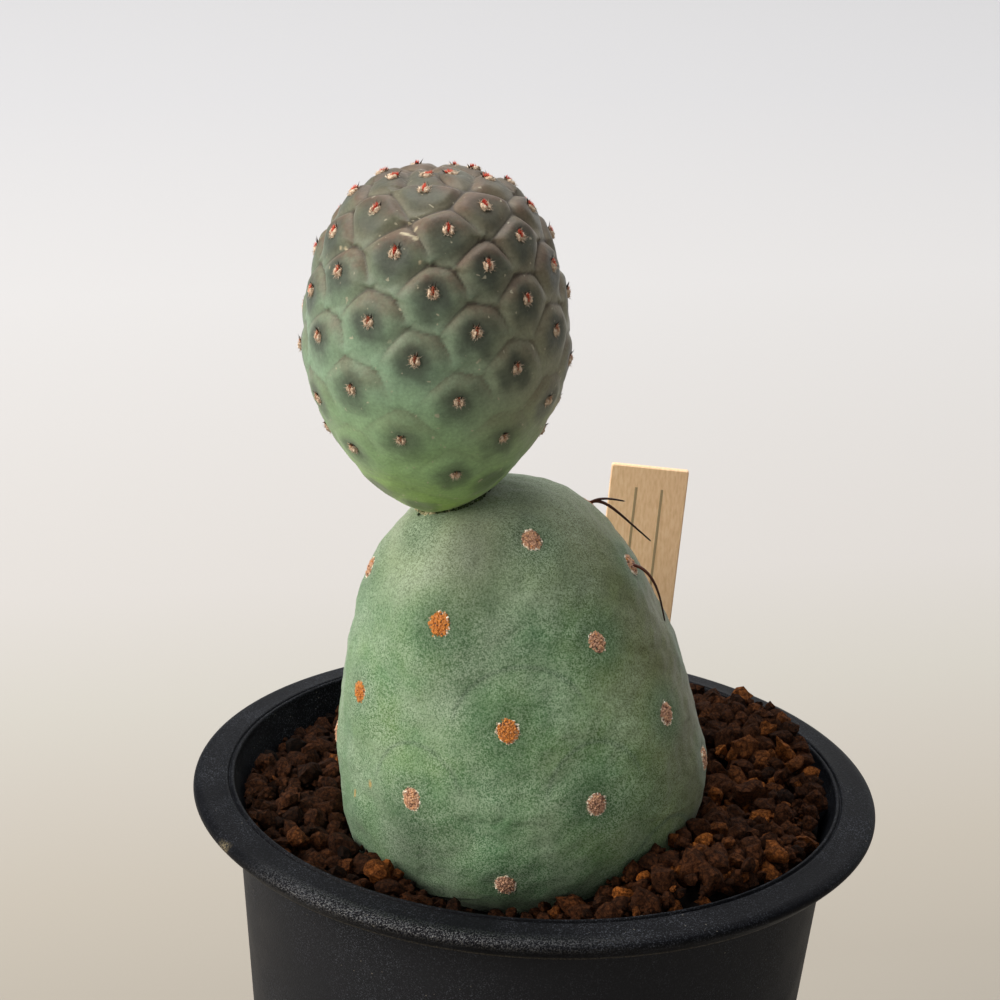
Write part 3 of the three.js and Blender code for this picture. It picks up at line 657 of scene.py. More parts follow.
def young_skin():
    """Waxy skin of a young joint: purple-brown at the top and over each areole, grey-green below and
    yellow-green at its foot, dark round each areole, with painted shade in a thin line along the creases,
    fine mottling, cream flecks and old scars."""
    material, node = finish_named("young_waxy_skin", Roughness=0.52, IOR=1.42, Specular_IOR_Level=0.3,
                                  Sheen_Weight=0.15, Sheen_Roughness=0.4)
    place = node("TexCoord", out="Object")
    trait = {name: node("Attribute", out="Fac", attribute_name=name)
             for name in ("flush", "weathered", "halo", "line", "groove", "climb", "scar")}
    cloud = node("TexNoise", place, Scale=1 / (8 * MM), Detail=3.0)
    drift = node("MapRange", cloud, 0.0, 1.0, -0.12, 0.12)
    climb = node("Math", trait["climb"], drift, operation="ADD")
    colour = node("ValToRGB", climb, stops=[(0.0, "#8fb24c"), (0.1, "#82a459"), (0.22, "#7e9e6d"),
                                            (0.5, "#759075"), (0.78, "#667864"), (1.0, "#4f4f3e")])
    mottle = node("TexNoise", place, Scale=1 / (0.4 * MM), Detail=4.0, Roughness=0.65)
    blotch = node("TexNoise", place, Scale=1 / (2.6 * MM), Detail=3.0, Roughness=0.6)
    patchy = node("MapRange", blotch, 0.3, 0.7, 0.5, 1.35)
    flushed = node("Math", trait["flush"], patchy, operation="MULTIPLY", use_clamp=True)
    sunk = node("Math", trait["groove"], 0.3, operation="MULTIPLY")
    # A thin dark line along the creases: painted shade.
    cut = node("Math", trait["line"], 0.65, operation="MULTIPLY")
    flecks = node("TexNoise", place, Scale=1 / (0.9 * MM), Detail=1.0, Distortion=0.5)
    fleck = node("MapRange", flecks, 0.72, 0.76, 0.0, 0.6)
    for amount, tone in ((trait["weathered"], "#8b7862"), (flushed, "#5a493b"), (trait["halo"], "#353b34"),
                         (sunk, "#7d7868"), (cut, "#2c2722"), (fleck, "#a7a18b"), (trait["scar"], "#b0a589")):
        colour = node("MixRGB", amount, colour, linear(tone))
    depth = node("MapRange", mottle, 0.3, 0.7, 0.84, 1.16)
    node("VectorMath", colour, Scale=depth, operation="SCALE", to="Base Color")
    node("Bump", Height=mottle, Strength=0.4, Distance=0.1 * MM, to="Normal")
    return material


def old_skin():
    """Mature skin: green under a fine pale wax that breaks into worm-like grains, deeper green round each
    areole and paler between them, grey at the top, brown on the side away from the window, partly its own
    tone and partly painted shade, with painted shade along a few arches and near the soil, and patches of
    painted light and shade."""
    material, node = finish_named("old_waxy_skin", Roughness=0.6, IOR=1.42, Specular_IOR_Level=0.22,
                                  Sheen_Weight=0.15, Sheen_Roughness=0.5)
    place = node("TexCoord", out="Object")
    trait = {name: node("Attribute", out="Fac", attribute_name=name)
             for name in ("halo", "arch", "pale", "grey", "brown", "soil_shade", "scar", "bright")}
    cloud = node("TexNoise", place, Scale=1 / (13 * MM), Detail=3.0, Roughness=0.55)
    colour = node("ValToRGB", cloud, stops=[(0.34, "#477148"), (0.5, "#51784b"), (0.62, "#5f824f"),
                                            (0.74, "#69884e")])
    misty = node("TexNoise", place, Scale=1 / (9 * MM), Detail=3.0, Distortion=0.6)
    veil = node("MapRange", misty, 0.35, 0.65)
    misted = node("Math", veil, trait["pale"], operation="MULTIPLY")
    grains = node("TexNoise", place, Scale=1 / (0.2 * MM), Detail=0.0, Distortion=1.5)
    wax = node("MapRange", grains, 0.48, 0.56)
    worn = node("TexNoise", place, Scale=1 / (6 * MM), Detail=3.0)
    amount = node("MapRange", worn, 0.35, 0.65, 0.24, 0.54)
    whole = node("Math", 1.0, trait["brown"], operation="SUBTRACT")
    kept = node("Math", amount, whole, operation="MULTIPLY")
    waxed = node("Math", wax, kept, operation="MULTIPLY")
    # Of these tones, the arches, the darkening near the soil and part of the brown are painted shade.
    for share, tone in ((misted, "#7e9478"), (trait["grey"], "#9ca389"), (trait["brown"], "#554e2a"),
                        (trait["halo"], "#3d5f3e"), (trait["arch"], "#314a35"), (waxed, "#aebfa8"),
                        (trait["soil_shade"], "#2c4630"), (trait["scar"], "#bf9a59")):
        colour = node("MixRGB", share, colour, linear(tone))
    deep = node("MapRange", grains, 0.34, 0.5, 0.64, 1.0)
    # Scaled by the patches of painted light and shade.
    toned = node("Math", deep, trait["bright"], operation="MULTIPLY")
    node("VectorMath", colour, Scale=toned, operation="SCALE", to="Base Color")
    node("Bump", Height=grains, Strength=0.4, Distance=0.08 * MM, to="Normal")
    return material


def fibre_finish(name, colours, roughness=0.8):
    """A dry plant fibre, whose tone goes through the colours as its trait tone goes from
    0 to 1."""
    material, node = finish_named(name, Roughness=roughness, IOR=1.45, Specular_IOR_Level=0.3)
    tone = node("Attribute", out="Fac", attribute_name="tone")
    stops = [(k / (len(colours) - 1), colour) for k, colour in enumerate(colours)]
    node("ValToRGB", tone, stops=stops, to="Base Color")
    return material


def kraft_card():
    """Kraft card: tan, matt, with short darker and paler pulp fibres and a slight cockle."""
    material, node = finish_named("kraft_card", Roughness=0.85, IOR=1.45, Specular_IOR_Level=0.25)
    long = node("Mapping", node("TexCoord", out="Object"), Scale=(1.0, 1.0, 0.25))
    pulp = node("TexNoise", long, Scale=1 / (0.35 * MM), Detail=4.0)
    node("ValToRGB", pulp, stops=[(0.3, "#e2bb92"), (0.5, "#edc7a0"), (0.7, "#f4d2ae")], to="Base Color")
    node("Bump", Height=pulp, Strength=0.3, Distance=0.05 * MM, to="Normal")
    return material


# The pieces

def pot_radius(z):
    """The pot's outer radius at the height z, which grows evenly up to under the rim."""
    return BODY_RADIUS - TAPER * (POT_HEIGHT - RIM_DROP - z)


def soil_wall(z):
    """The soil's radius at the height z, just inside the pot's wall."""
    return pot_radius(z) - WALL - GAP


def soil_height(x, y):
    """The soil's top: a level that rises evenly along x, with the heaps on it."""
    return SOIL_LEVEL + SOIL_SLOPE * x + mounds(HEAPS, x, y)


def make_pot():
    """The pot's wall, floor and rolled rim as one turned profile, with four notches raised
    in the foot by a formula and the drainage holes cut through the floor."""
    top, lip = POT_HEIGHT, POT_HEIGHT - RIM_DROP
    floor_top = FOOT_RECESS + FLOOR
    inner = pot_radius(floor_top + 1.2) - WALL
    foot = pot_radius(0)
    profile = rounded([
        (0.02, FOOT_RECESS, 0), (foot - FOOT_WIDTH - 0.8, FOOT_RECESS, 0.6), (foot - FOOT_WIDTH, 0, 0.5),
        (foot - 0.6, 0, 0.4), (pot_radius(0.8), 0.8, 0.4), (pot_radius(lip), lip, 1.0),
        (pot_radius(lip) + 0.9, top - 2.4, 1.2), (RIM_RADIUS - 2.4, top - 2.9, 0.8),
        (RIM_RADIUS - 2.5, lip + 0.2, 0.3), (RIM_RADIUS - 1.7, lip, 0.35), (RIM_RADIUS - 0.7, lip + 1, 0.6),
        (RIM_RADIUS, top - 1.9, 0.7), (RIM_RADIUS - 0.1, top - 1.2, 0.5), (RIM_RADIUS - 0.9, top - 0.7, 0.5),
        (RIM_RADIUS - 3.4, top - 0.35, 1.2), (MOUTH_RADIUS + 0.95, top - 0.1, 0.3),
        (MOUTH_RADIUS + 0.75, top - 0.42, 0.12), (MOUTH_RADIUS + 0.6, top - 0.4, 0.12),
        (MOUTH_RADIUS + 0.42, top, 0.15), (MOUTH_RADIUS + 0.05, top - 0.05, 0.3),
        (MOUTH_RADIUS - 0.15, top - 0.9, 0.5), (pot_radius(top - 5) - WALL, top - 5, 1.5),
        (inner, floor_top + 1.2, 0.8), (inner - 1, floor_top, 0.8), (0.02, floor_top, 0),
    ])
    rings = turned(profile, POT_SIDES)
    pitch = 2 * np.pi / NOTCH["count"]
    off_notch = np.abs((turns(POT_SIDES) % pitch) - pitch / 2) * foot
    notch = NOTCH["height"] * (1 - smooth_step(NOTCH["width"] / 2 - 0.5, NOTCH["width"] / 2, off_notch))
    low = (rings[..., 2] < NOTCH["height"]) & (profile[:, :1] > foot - FOOT_WIDTH - 0.5)
    rings[..., 2] = np.where(low, np.maximum(rings[..., 2], notch), rings[..., 2])
    form = closed_skin([0, 0, FOOT_RECESS], rings, [0, 0, floor_top])
    pot = mesh_piece("pot_shell", form, pot_plastic(), "pot_plastic", ["pot"])
    for turn in turns(DRAIN["count"]):
        bore = np.array([[DRAIN["radius"], -1.0], [DRAIN["radius"], 2 * floor_top]])
        rings = turned(bore, DRAIN["sides"]) + [DRAIN["ring"] * np.cos(turn), DRAIN["ring"] * np.sin(turn), 0]
        middle = rings[0].mean(axis=0)
        cut_hole(pot, *closed_skin(middle, rings, middle + [0, 0, 2 * floor_top + 1]))
    places = np.zeros(3 * len(pot.data.vertices))
    pot.data.vertices.foreach_get("co", places)
    places = places.reshape(-1, 3) / MM
    out, z = np.hypot(places[:, 0], places[:, 1]), places[:, 2]
    turn = np.degrees(np.arctan2(places[:, 1], places[:, 0]))
    worn = smooth_step(-146, -122, turn) * smooth_step(-66, -100, turn) * smooth_step(top - 2.2, top - 1.4, z)
    rim = smooth_step(RIM_RADIUS - 3.0, RIM_RADIUS - 2.4, out)
    give_traits(pot.data, {
        "scuff": worn * smooth_step(RIM_RADIUS - 1.9, RIM_RADIUS - 1.1, out),
        # The parting line under the lip, painted pale: partly dust, partly a painted highlight
        "seam": rim * np.exp(-((z - lip - 0.4) / 0.2) ** 2),
        # Painted light: the outer wall below the lip, which the finish makes a lighter grey
        "wall": smooth_step(lip + 0.4, lip - 0.4, z) * (out > pot_radius(z) - 0.5),
        "mud": smooth_step(1.5, 0.5, np.linalg.norm(places - MUD, axis=1)),
    })


def cut_hole(piece, points, faces):
    """Cuts a closed shape out of a piece."""
    cutter_mesh = bpy.data.meshes.new("hole")
    cutter_mesh.from_pydata((points * MM).tolist(), [], [f for group in faces for f in group.tolist()])
    cutter = placed("hole", cutter_mesh)
    cut = piece.modifiers.new("hole", "BOOLEAN")
    cut.operation, cut.object, cut.solver = "DIFFERENCE", cutter, "EXACT"
    with bpy.context.temp_override(object=piece, active_object=piece):
        bpy.ops.object.modifier_apply(modifier=cut.name)
    bpy.data.objects.remove(cutter)
    bpy.data.meshes.remove(cutter_mesh)


def clear_of_plant(points):
    """How far points lie outside the older joint's smooth form, across its axis."""
    x, y, s = np.moveaxis((points - np.array(OLD["belt"])) @ axes_of(OLD).T, -1, 0)
    reach, power, rounding = half_of(OLD, s > 0)
    share = np.minimum(np.abs(s) / reach, 1)
    return np.hypot(x, y) - OLD["radius"] * (1 - share ** power) ** (1 / rounding)


def spread(count, small, large, tight, seed):
    """Places and radii of grains laid side by side in the pot's mouth: they start at random
    and push each other apart, tight times the sum of their radii, for 30 rounds."""
    random = np.random.default_rng(seed)
    radius = small + (large - small) * random.random(count) ** 1.4
    room = pot_radius(SOIL_LEVEL) - WALL
    out, turn = room * np.sqrt(random.random(count)), random.uniform(0, 2 * np.pi, count)
    place = np.stack([out * np.cos(turn), out * np.sin(turn)], axis=-1)
    wanted = tight * (radius[:, None] + radius[None])
    for _ in range(30):
        offset = place[:, None] - place[None]
        far = np.sqrt((offset ** 2).sum(axis=-1)) + np.eye(count) * 1e6
        push = np.maximum(wanted - far, 0)[..., None] * offset / far[..., None]
        place = place + 0.35 * push.sum(axis=1)
        long = np.maximum(np.hypot(*place.T), 1e-6)
        place *= np.minimum(1, (room - 0.85 * radius) / long)[:, None]
    return place, radius, random


def make_soil():
    """A near-black fill under two layers of grains, painted shade for the gaps between them, and a scatter of
    small crumbs, drier and brighter at the front right."""
    # The fill's near-black tones are painted shade, seen in the gaps between the grains.
    gap_shade_fill = clay("gap_shade_clay", "#0c0705", "#150c08", "#1c110a")
    grain_clay = clay("crumbled_clay", "#1c1009", "#53301a", "#b2682c")
    bottom, shoulder = FOOT_RECESS + FLOOR + GAP, SOIL_LEVEL - 4
    radii = np.array([soil_wall(bottom) - 1.4, soil_wall(bottom + 1.4), soil_wall(shoulder),
                      *np.linspace(soil_wall(shoulder + 2), 1.5, 24)])
    rings = turned(np.column_stack([radii, 0 * radii]), SOIL_SIDES)
    x, y, z = np.moveaxis(rings, -1, 0)
    z[:3] = np.array([[bottom], [bottom + 1.4], [shoulder]])
    z[3:] = soil_height(x[3:], y[3:]) - COVER + 0.3 * ripple(rings[3:], 3.0, 11)
    z[3] = np.minimum(z[3], POT_HEIGHT - 0.4)
    form = closed_skin([0, 0, bottom], rings, [0, 0, soil_height(0, 0) - COVER])
    mesh_piece("soil_fill", form, gap_shade_fill, "clay_grains", ["soil"], tone=0.3)
    for layer in GRAINS:
        place, radius, random = spread(*(layer[key] for key in ("count", "small", "large", "tight", "seed")))
        z = soil_height(*place.T) + layer["level"] + random.normal(0, 0.35, len(place))
        centres = np.column_stack([place, z])
        free = clear_of_plant(centres) > 0.35 * radius
        centres, radius = centres[free], radius[free]
        tone = random.normal(0.36, 0.16, len(centres))
        tone += mounds(DRY, centres[:, 0], centres[:, 1]) * random.uniform(0.05, 0.6, len(centres))
        mesh_piece(layer["name"], crumbs(centres, radius, layer["seed"], layer["fine"]), grain_clay,
                   "clay_grains", smooth=False, tone=tone)


def make_old_joint():
    """The older joint's skin. Its tubercles have all but stretched flat, with arches of painted shade over
    some lower areoles. It is grey at the top and brown on the side away from the window, which has weathered
    and also carries painted shade, with patches of painted light and shade and painted shade by the soil."""
    form, relief, areoles, flat = dressed_joint(
        OLD, lambda s: 1 + 0 * s, lambda s: 0.35 + 0.45 * smooth_step(12, -8, s), 0.2)
    reach = relief["reach"]
    x, y, z = flat.T
    # Brown towards the right, away from the window: partly the skin's own weathered tone, partly painted
    # shade.
    brown = 0.84 * smooth_step(4, 22, x + 0.4 * (z - 95))
    traits = {
        "halo": 0.6 * smooth_step(6.0, 1.2, reach),
        # Painted light and shade in patches: the colour is scaled up or down round each middle.
        "bright": 1 + sum(share * np.exp(-((flat - middle) ** 2).sum(axis=1) / (2 * spread ** 2))
                          for middle, spread, share in SHADE_AND_LIGHT_PATCHES),
        "brown": brown,
        "grey": 0.6 * smooth_step(0.76, 0.97, relief["climb"]),
        "pale": 0.75 * smooth_step(3.5, 7.5, reach) * (1 - brown),
        # Painted shade low on the front, near the soil.
        "soil_shade": 0.4 * smooth_step(85, 76, z) * smooth_step(0, -16, y),
        "arch": 0 * x,
        "scar": np.max([scar_at(flat, np.array(place), np.array([0.15, 0, -1.0]), long, 0.18, 71)
                        for place, long in FLECKS], axis=0),
    }
    # Painted shade along an arch over each of these areoles.
    for number, half, tall, aside in SHADE_ARCHES:
        own = picked(areoles, number)
        offset = flat - own["point"]
        across, above = offset @ own["side"] - aside, offset @ own["up"]
        near = offset @ own["normal"] > -8
        arch = np.exp(-((np.hypot(across / half, above / tall) - 1) / 0.035) ** 2)
        traits["arch"] = np.maximum(traits["arch"], 0.6 * near * arch * smooth_step(0, 0.5 * tall, above))
    mesh_piece("old_joint", form, old_skin(), "old_skin", ["lower_segment"], **with_poles(traits))
    shows = areoles["point"][:, 2] > soil_height(*areoles["point"][:, :2].T) + 0.5
    shows &= np.linalg.norm(areoles["point"] - SEAT, axis=1) > OLD_BARE
    return picked(areoles, shows & ~np.isin(areoles["number"], HEALED))


def make_tap_root():
    """The root under the older joint, hidden in the soil: its radius grows upwards as the
    share of its height to the power flare."""
    share = np.linspace(0, 1, 12)
    radius = ROOT["tip"] + (ROOT["radius"] - ROOT["tip"]) * share ** ROOT["flare"]
    profile = np.column_stack([radius, ROOT["bottom"] + (ROOT["top"] - ROOT["bottom"]) * share])
    foot = np.array([OLD["belt"][0] + ROOT["offset"], OLD["belt"][1], 0])
    form = closed_skin(foot + [0, 0, ROOT["bottom"] - ROOT["tip"]], turned(profile, 24) + foot,
                       foot + [0, 0, ROOT["top"] + ROOT["tip"]])
    bark = fibre_finish("root_bark", ["#6b5136", "#8a6c48"])
    mesh_piece("tap_root", form, bark, "old_skin", tone=0.5 + 0.5 * ripple(form[0], 4.0, 3))


def make_corky_areoles(areoles):
    """Each areole of the older joint: a low cork disc packed with granules, the blunt ends
    of old bristles, in a broken rim of pale wool, thickest below, with a few loose hairs."""
    count = len(areoles["root"])
    bright = np.array([CORK.get(k, PLAIN_CORK) for k in areoles["number"]])
    cork = fibre_finish("areole_cork", ["#6e5142", "#b8917a", "#c39a78", "#bb7a41", "#c6803d"], 0.9)
    pale = fibre_finish("areole_fringe", ["#8a7961", "#cbbea6", "#ece5d6"], 0.85)
    grown = 0.8 + 0.22 * bright[:, None]
    wide, tall, high = 1.38 * grown, 1.6 * grown, 0.34
    cushions = domes(areoles, wide[:, 0], tall[:, 0], high, 42, 0.1)
    mesh_piece("areole_cork_cushions", cushions, cork, "old_skin", tone=0.7 * bright)
    random, roots, (side, up, normal), (x, y) = tufts(areoles, GRANULES, wide, tall, 43)
    crown = high * np.sqrt(np.maximum(1 - x ** 2 - y ** 2, 0)) + random.uniform(-0.06, 0.1, x.shape)
    centres = (roots + crown[..., None] * normal).reshape(-1, 3)
    granules = crumbs(centres, random.uniform(0.11, 0.2, x.size), 45, 1)
    tone = np.repeat(bright, GRANULES) + random.normal(0, 0.13, x.size)
    tone[random.random(x.size) < 0.07] = 0.0
    mesh_piece("areole_granules", granules, cork, "old_skin", smooth=False, tone=tone)
    turn = turns(RIM_GRAINS)
    broken = random.normal(0, 0.5, (count, RIM_GRAINS))
    broken += 0.9 * np.sin(3 * turn + random.uniform(0, 6, (count, 1)))
    keep = broken - 0.6 * np.sin(turn) > -0.5
    out = random.uniform(0.84, 1.1, (count, RIM_GRAINS, 1))
    wide, tall = wide[..., None], tall[..., None]
    ring = out * (wide * np.cos(turn)[:, None] * side + tall * np.sin(turn)[:, None] * up)
    ring = ring + random.uniform(0.02, 0.16, (count, RIM_GRAINS, 1)) * normal
    centres = (areoles["root"][:, None] + ring)[keep]
    rims = crumbs(centres, random.uniform(0.09, 0.2, len(centres)), 46, 1)
    mesh_piece("areole_rims", rims, pale, "old_skin", smooth=False,
               tone=random.normal(0.68, 0.28, len(centres)))
    turn = random.uniform(0, 2 * np.pi, (count, HAIRS, 1))
    ring = wide * np.cos(turn) * side + tall * np.sin(turn) * up
    along = unit(ring + 0.5 * normal + random.normal(0, 0.3, ring.shape))
    hairs = fibres(areoles["root"][:, None] + ring, along, random.uniform(0.25, 0.7, count * HAIRS), 0.035)
    mesh_piece("areole_hairs", hairs, pale, "old_skin", tone=random.uniform(0.4, 1, count * HAIRS))


def make_long_spines(areoles):
    """Three spines that leave an areole at the angle rise and end at the angle fall, both up
    from level: what is left of the bend falls as the power bend of what is left of the
    length."""
    horn = fibre_finish("spine_horn", ["#170b09", "#35190f", "#5b2c1c"], 0.4)
    share = np.linspace(0, 1, SPINE["steps"] + 1)
    turn = turns(SPINE["sides"])
    radius = SPINE["radius"] * (1 - SPINE["taper"] * share)[:, None, None]
    tone = np.concatenate([[0.9], np.repeat(0.9 - 0.75 * share, SPINE["sides"]), [0.1]])
    parts, faces = [], []
    for each in SPINES:
        [own] = np.flatnonzero(areoles["number"] == each["areole"])
        pitch = np.radians(each["fall"] + (each["rise"] - each["fall"]) * (1 - share) ** each["bend"])
        azimuth = math.radians(each["azimuth"])
        ahead = np.array([math.cos(azimuth), math.sin(azimuth), 0])
        side = np.array([-ahead[1], ahead[0], 0])
        along = np.cos(pitch)[:, None] * ahead + np.sin(pitch)[:, None] * [0, 0, 1]
        moved = np.cumsum(along, axis=0) - along[:1]
        path = areoles["point"][own] - SPINE["seat"] * areoles["normal"][own]
        path = path + moved * each["length"] / SPINE["steps"]
        over = np.cross(along, side)
        rim = side * np.cos(turn)[:, None] + over[:, None] * np.sin(turn)[:, None]
        points, groups = closed_skin(path[0] - along[0] * 0.3, path[:, None] + radius * rim,
                                     path[-1] + along[-1] * 0.3)
        faces.extend(group + len(parts) * len(points) for group in groups)
        parts.append(points)
    mesh_piece("long_spines", (np.concatenate(parts), faces), horn, "old_skin",
               tone=np.tile(tone, len(SPINES)))


def make_young_joint():
    """The young joint's skin: flushed purple-brown over each areole, more so towards the tip
    and on the right, with a dark ring round each areole, some scars and a corky seam."""
    form, traits, areoles, flat = dressed_joint(
        YOUNG, lambda s: 0.45 + 0.55 * smooth_step(-16, 12, s),
        lambda s: 0.16 + 0.84 * smooth_step(-5, 16, s), 0.1)
    reach, rise, climb = traits.pop("reach"), traits.pop("rise"), traits["climb"]
    x, y, s = ((flat - np.array(YOUNG["belt"])) @ axes_of(YOUNG).T).T
    over = smooth_step(-0.22, 0.3, rise)
    right = smooth_step(0, 17, x)
    top = smooth_step(0.6, 0.98, climb)
    traits["flush"] = np.clip(over * (0.45 + 0.4 * top) * smooth_step(0.2, 0.55, climb) + 0.3 * top
                              + 0.12 * right * smooth_step(0.15, 0.5, climb), 0, 1)
    traits["weathered"] = 0.55 * right * smooth_step(0.1, 0.45, climb)
    ragged = reach + 1.8 * np.clip(rise, -0.5, 0.5) + 0.55 * ripple(flat, 2.8, 8)
    traits["halo"] = smooth_step(3.6, 1.0, ragged) * (
        0.62 + 0.2 * smooth_step(0.3, 0.6, climb) - 0.4 * smooth_step(0.8, 1, climb))
    seam = np.exp(-((np.arctan2(y, x) - SEAM["turn"]) * np.hypot(x, y) / SEAM["width"]) ** 2)
    seam *= smooth_step(SEAM["low"] - 1, SEAM["low"] + 1, s)
    seam *= smooth_step(SEAM["high"] + 1, SEAM["high"] - 1, s)
    traits["scar"] = 0.85 * seam
    for k, (number, aside, above, long, wide, tilt) in enumerate(SCARS):
        own = picked(areoles, number)
        centre = own["point"] + aside * own["side"] + above * own["up"]
        centre = centre - 0.5 * (aside ** 2 + above ** 2) / YOUNG["radius"] * own["normal"]
        along = math.cos(math.radians(tilt)) * own["side"] + math.sin(math.radians(tilt)) * own["up"]
        traits["scar"] = np.maximum(traits["scar"], scar_at(flat, centre, along, long, wide, 80 + k))
    mesh_piece("young_joint", form, young_skin(), "young_skin", ["upper_segment"], **with_poles(traits))
    return picked(areoles, np.linalg.norm(areoles["point"] - SEAT, axis=1) > YOUNG_BARE)


def make_woolly_areoles(areoles):
    """Each areole of the young joint: two small lobes of cream wool with loose fibres, a
    strip of short red bristles between them that pales with age, a few white bristles
    below, and two or three tiny dark spines above."""
    count = len(areoles["root"])
    age = smooth_step(0.1, 0.72, areoles["place"])
    wool = fibre_finish("areole_wool", ["#75604e", "#bba48c", "#ddd0bc"], 0.9)
    red = fibre_finish("red_bristles", ["#a82c16", "#c8452c", "#b5694c", "#a8805e"], 0.55)
    dark = fibre_finish("dark_tiny_spines", ["#150b09", "#33190f", "#7d6a55"], 0.45)
    grown = 1 - 0.2 * age
    lobes = picked(areoles, np.tile(np.arange(count), 2))
    aside = (np.array([[-0.36], [0.36]]) * grown).reshape(-1, 1)
    lobes["root"] = lobes["root"] + aside * lobes["side"] - 0.08 * lobes["up"]
    points, faces, _ = domes(lobes, 0.34 * np.tile(grown, 2), 0.56 * np.tile(grown, 2), 0.38, 52, 0.35)
    mesh_piece("wool_cushions", (points, faces), wool, "young_skin", tone=0.5 + 0.4 * ripple(points, 0.5, 9))
    oval = 0.66 * grown[:, None], 0.74 * grown[:, None]
    random, roots, (side, up, normal), (x, y) = tufts(areoles, WOOL, *oval, 53)
    along = unit(normal * 0.7 + x[..., None] * side * 0.8 + y[..., None] * up * 0.6
                 + random.normal(0, 0.3, roots.shape))
    tuft = fibres(roots, along, random.uniform(0.28, 0.56, x.size), 0.05,
                  random.normal(0, 0.25, roots.shape), steps=3)
    mesh_piece("wool_fibres", tuft, wool, "young_skin", tone=random.normal(0.6, 0.25, x.size))
    random, roots, (side, up, normal), (x, y) = tufts(areoles, RED_BRISTLES, 0.17, 0.5, 54)
    along = unit(normal + 0.45 * up + random.normal(0, 0.12, roots.shape))
    length = random.uniform(0.5, 0.8, x.size) * np.repeat(1 - 0.45 * age, RED_BRISTLES)
    tone = np.repeat(0.1 + 0.95 * age + random.normal(0, 0.12, count), RED_BRISTLES)
    mesh_piece("red_bristles", fibres(roots + 0.12 * up, along, length, 0.07), red, "young_skin",
               tone=tone + random.normal(0, 0.12, x.size))
    spray = random.uniform(-1, 1, (count, WHITE_BRISTLES, 1))
    along = unit(spray * side - up + 0.6 * normal)
    root = areoles["root"][:, None] + 0.3 * spray * side - 0.45 * up
    length = random.uniform(0.3, 0.75, count * WHITE_BRISTLES)
    mesh_piece("white_bristles", fibres(root, along, length, 0.045), wool, "young_skin", tone=0.95)
    sway = np.array([-0.4, 0.05, 0.45])[None, :, None] + random.normal(0, 0.12, (count, TINY_SPINES, 1))
    root = areoles["root"][:, None] + 0.5 * up + 0.5 * sway * side
    along = unit(0.9 * up + 0.7 * normal + 0.8 * sway * side)
    length = random.uniform(0.6, 1.25, (count, TINY_SPINES)) * (1 - 0.35 * age[:, None])
    length *= np.where(random.random((count, TINY_SPINES)) < 0.25, 0.5, 1)
    spines = fibres(root, along, length.ravel(), 0.11, 0.1 * up, sides=5, steps=3)
    mesh_piece("tiny_spines", spines, dark, "young_skin", tone=random.normal(0.2, 0.2, count * TINY_SPINES))


def make_joint_crust():
    """Dry crust where the young joint sits on the older one: dark crumbs along the curve
    where the two skins meet, with a few cream ones at the front left."""
    turn = np.linspace(0, 2 * np.pi, 240, endpoint=False)
    points, normals = skin_at(YOUNG, *np.meshgrid(np.linspace(0.999, 0.6, 400), turn, indexing="ij"))
    first = np.argmax(clear_of_plant(points) > 0, axis=0)
    line, out = (found[first, np.arange(len(turn))] for found in (points, normals))
    random = np.random.default_rng(61)
    pick = random.integers(0, len(turn), CRUST_CRUMBS)
    centres = line[pick] + random.normal(0, 0.12, (CRUST_CRUMBS, 3)) + 0.05 * out[pick]
    cream = (centres[:, 0] < -12.5) & (centres[:, 1] < -8) & (random.random(CRUST_CRUMBS) < 0.4)
    form = crumbs(centres, random.uniform(0.08, 0.2, CRUST_CRUMBS) * (1 + 0.5 * cream), 62, 1)
    crust = fibre_finish("joint_crust", ["#26331c", "#4b5a30", "#c9bf9c"], 0.9)
    mesh_piece("joint_crust", form, crust, "young_skin", smooth=False,
               tone=random.normal(0.15, 0.15, CRUST_CRUMBS) + 0.7 * cream)


def make_label():
    """The card, an outline with a blunt point carried through its thickness, with two plain
    ruled lines printed down its face."""
    half, foot, point, tip = LABEL["width"] / 2, -LABEL["height"], LABEL["point"], LABEL["tip"] / 2
    outline = rounded([(0, 0, 0), (half, 0, 0.4), (half, foot + point, 1.0), (tip, foot, 0.6),
                       (-tip, foot, 0.6), (-half, foot + point, 1.0), (-half, 0, 0.4), (-0.01, 0, 0)])
    turn = np.array(Matrix.Rotation(math.radians(LABEL["lean"]), 3, "Y"))

    def stood(x, z, y):
        return np.column_stack([x, y + 0 * x, z]) @ turn.T + LABEL_TOP

    depth, inset = LABEL["thickness"] / 2, 0.12
    rings = []
    for shrink, y in ((inset, -depth), (0, -depth + inset), (0, depth - inset), (inset, depth)):
        x = outline[:, 0] * (1 - shrink / half)
        z = foot / 2 + (outline[:, 1] - foot / 2) * (1 + shrink / (foot / 2))
        rings.append(stood(x, z, y))
    start, end = (stood(np.zeros(1), foot / 2, y)[0] for y in (-depth, depth))
    form = closed_skin(start, np.array(rings)[:, ::-1], end)
    mesh_piece("label_card", form, kraft_card(), "label_card", ["plant_label"], smooth=False)
    ink, _ = finish_named("faded_ink", Roughness=0.7, Base_Color=linear("#a08c6c"))
    boxes = []
    for middle in RULES["places"]:
        x = middle + RULES["half"] * np.array([-1, 1, 1, -1])
        z = np.repeat([RULES["top"], RULES["bottom"]], 2)
        boxes += [stood(x, z, -depth - 0.02), stood(x, z, -depth + 0.05)]
    sides = np.array([(3, 2, 1, 0), (4, 5, 6, 7), (0, 1, 5, 4), (1, 2, 6, 5), (2, 3, 7, 6), (3, 0, 4, 7)])
    form = np.concatenate(boxes), copies([sides], len(RULES["places"]), 8)
    mesh_piece("label_rules", form, ink, "label_card", smooth=False)


# The picture

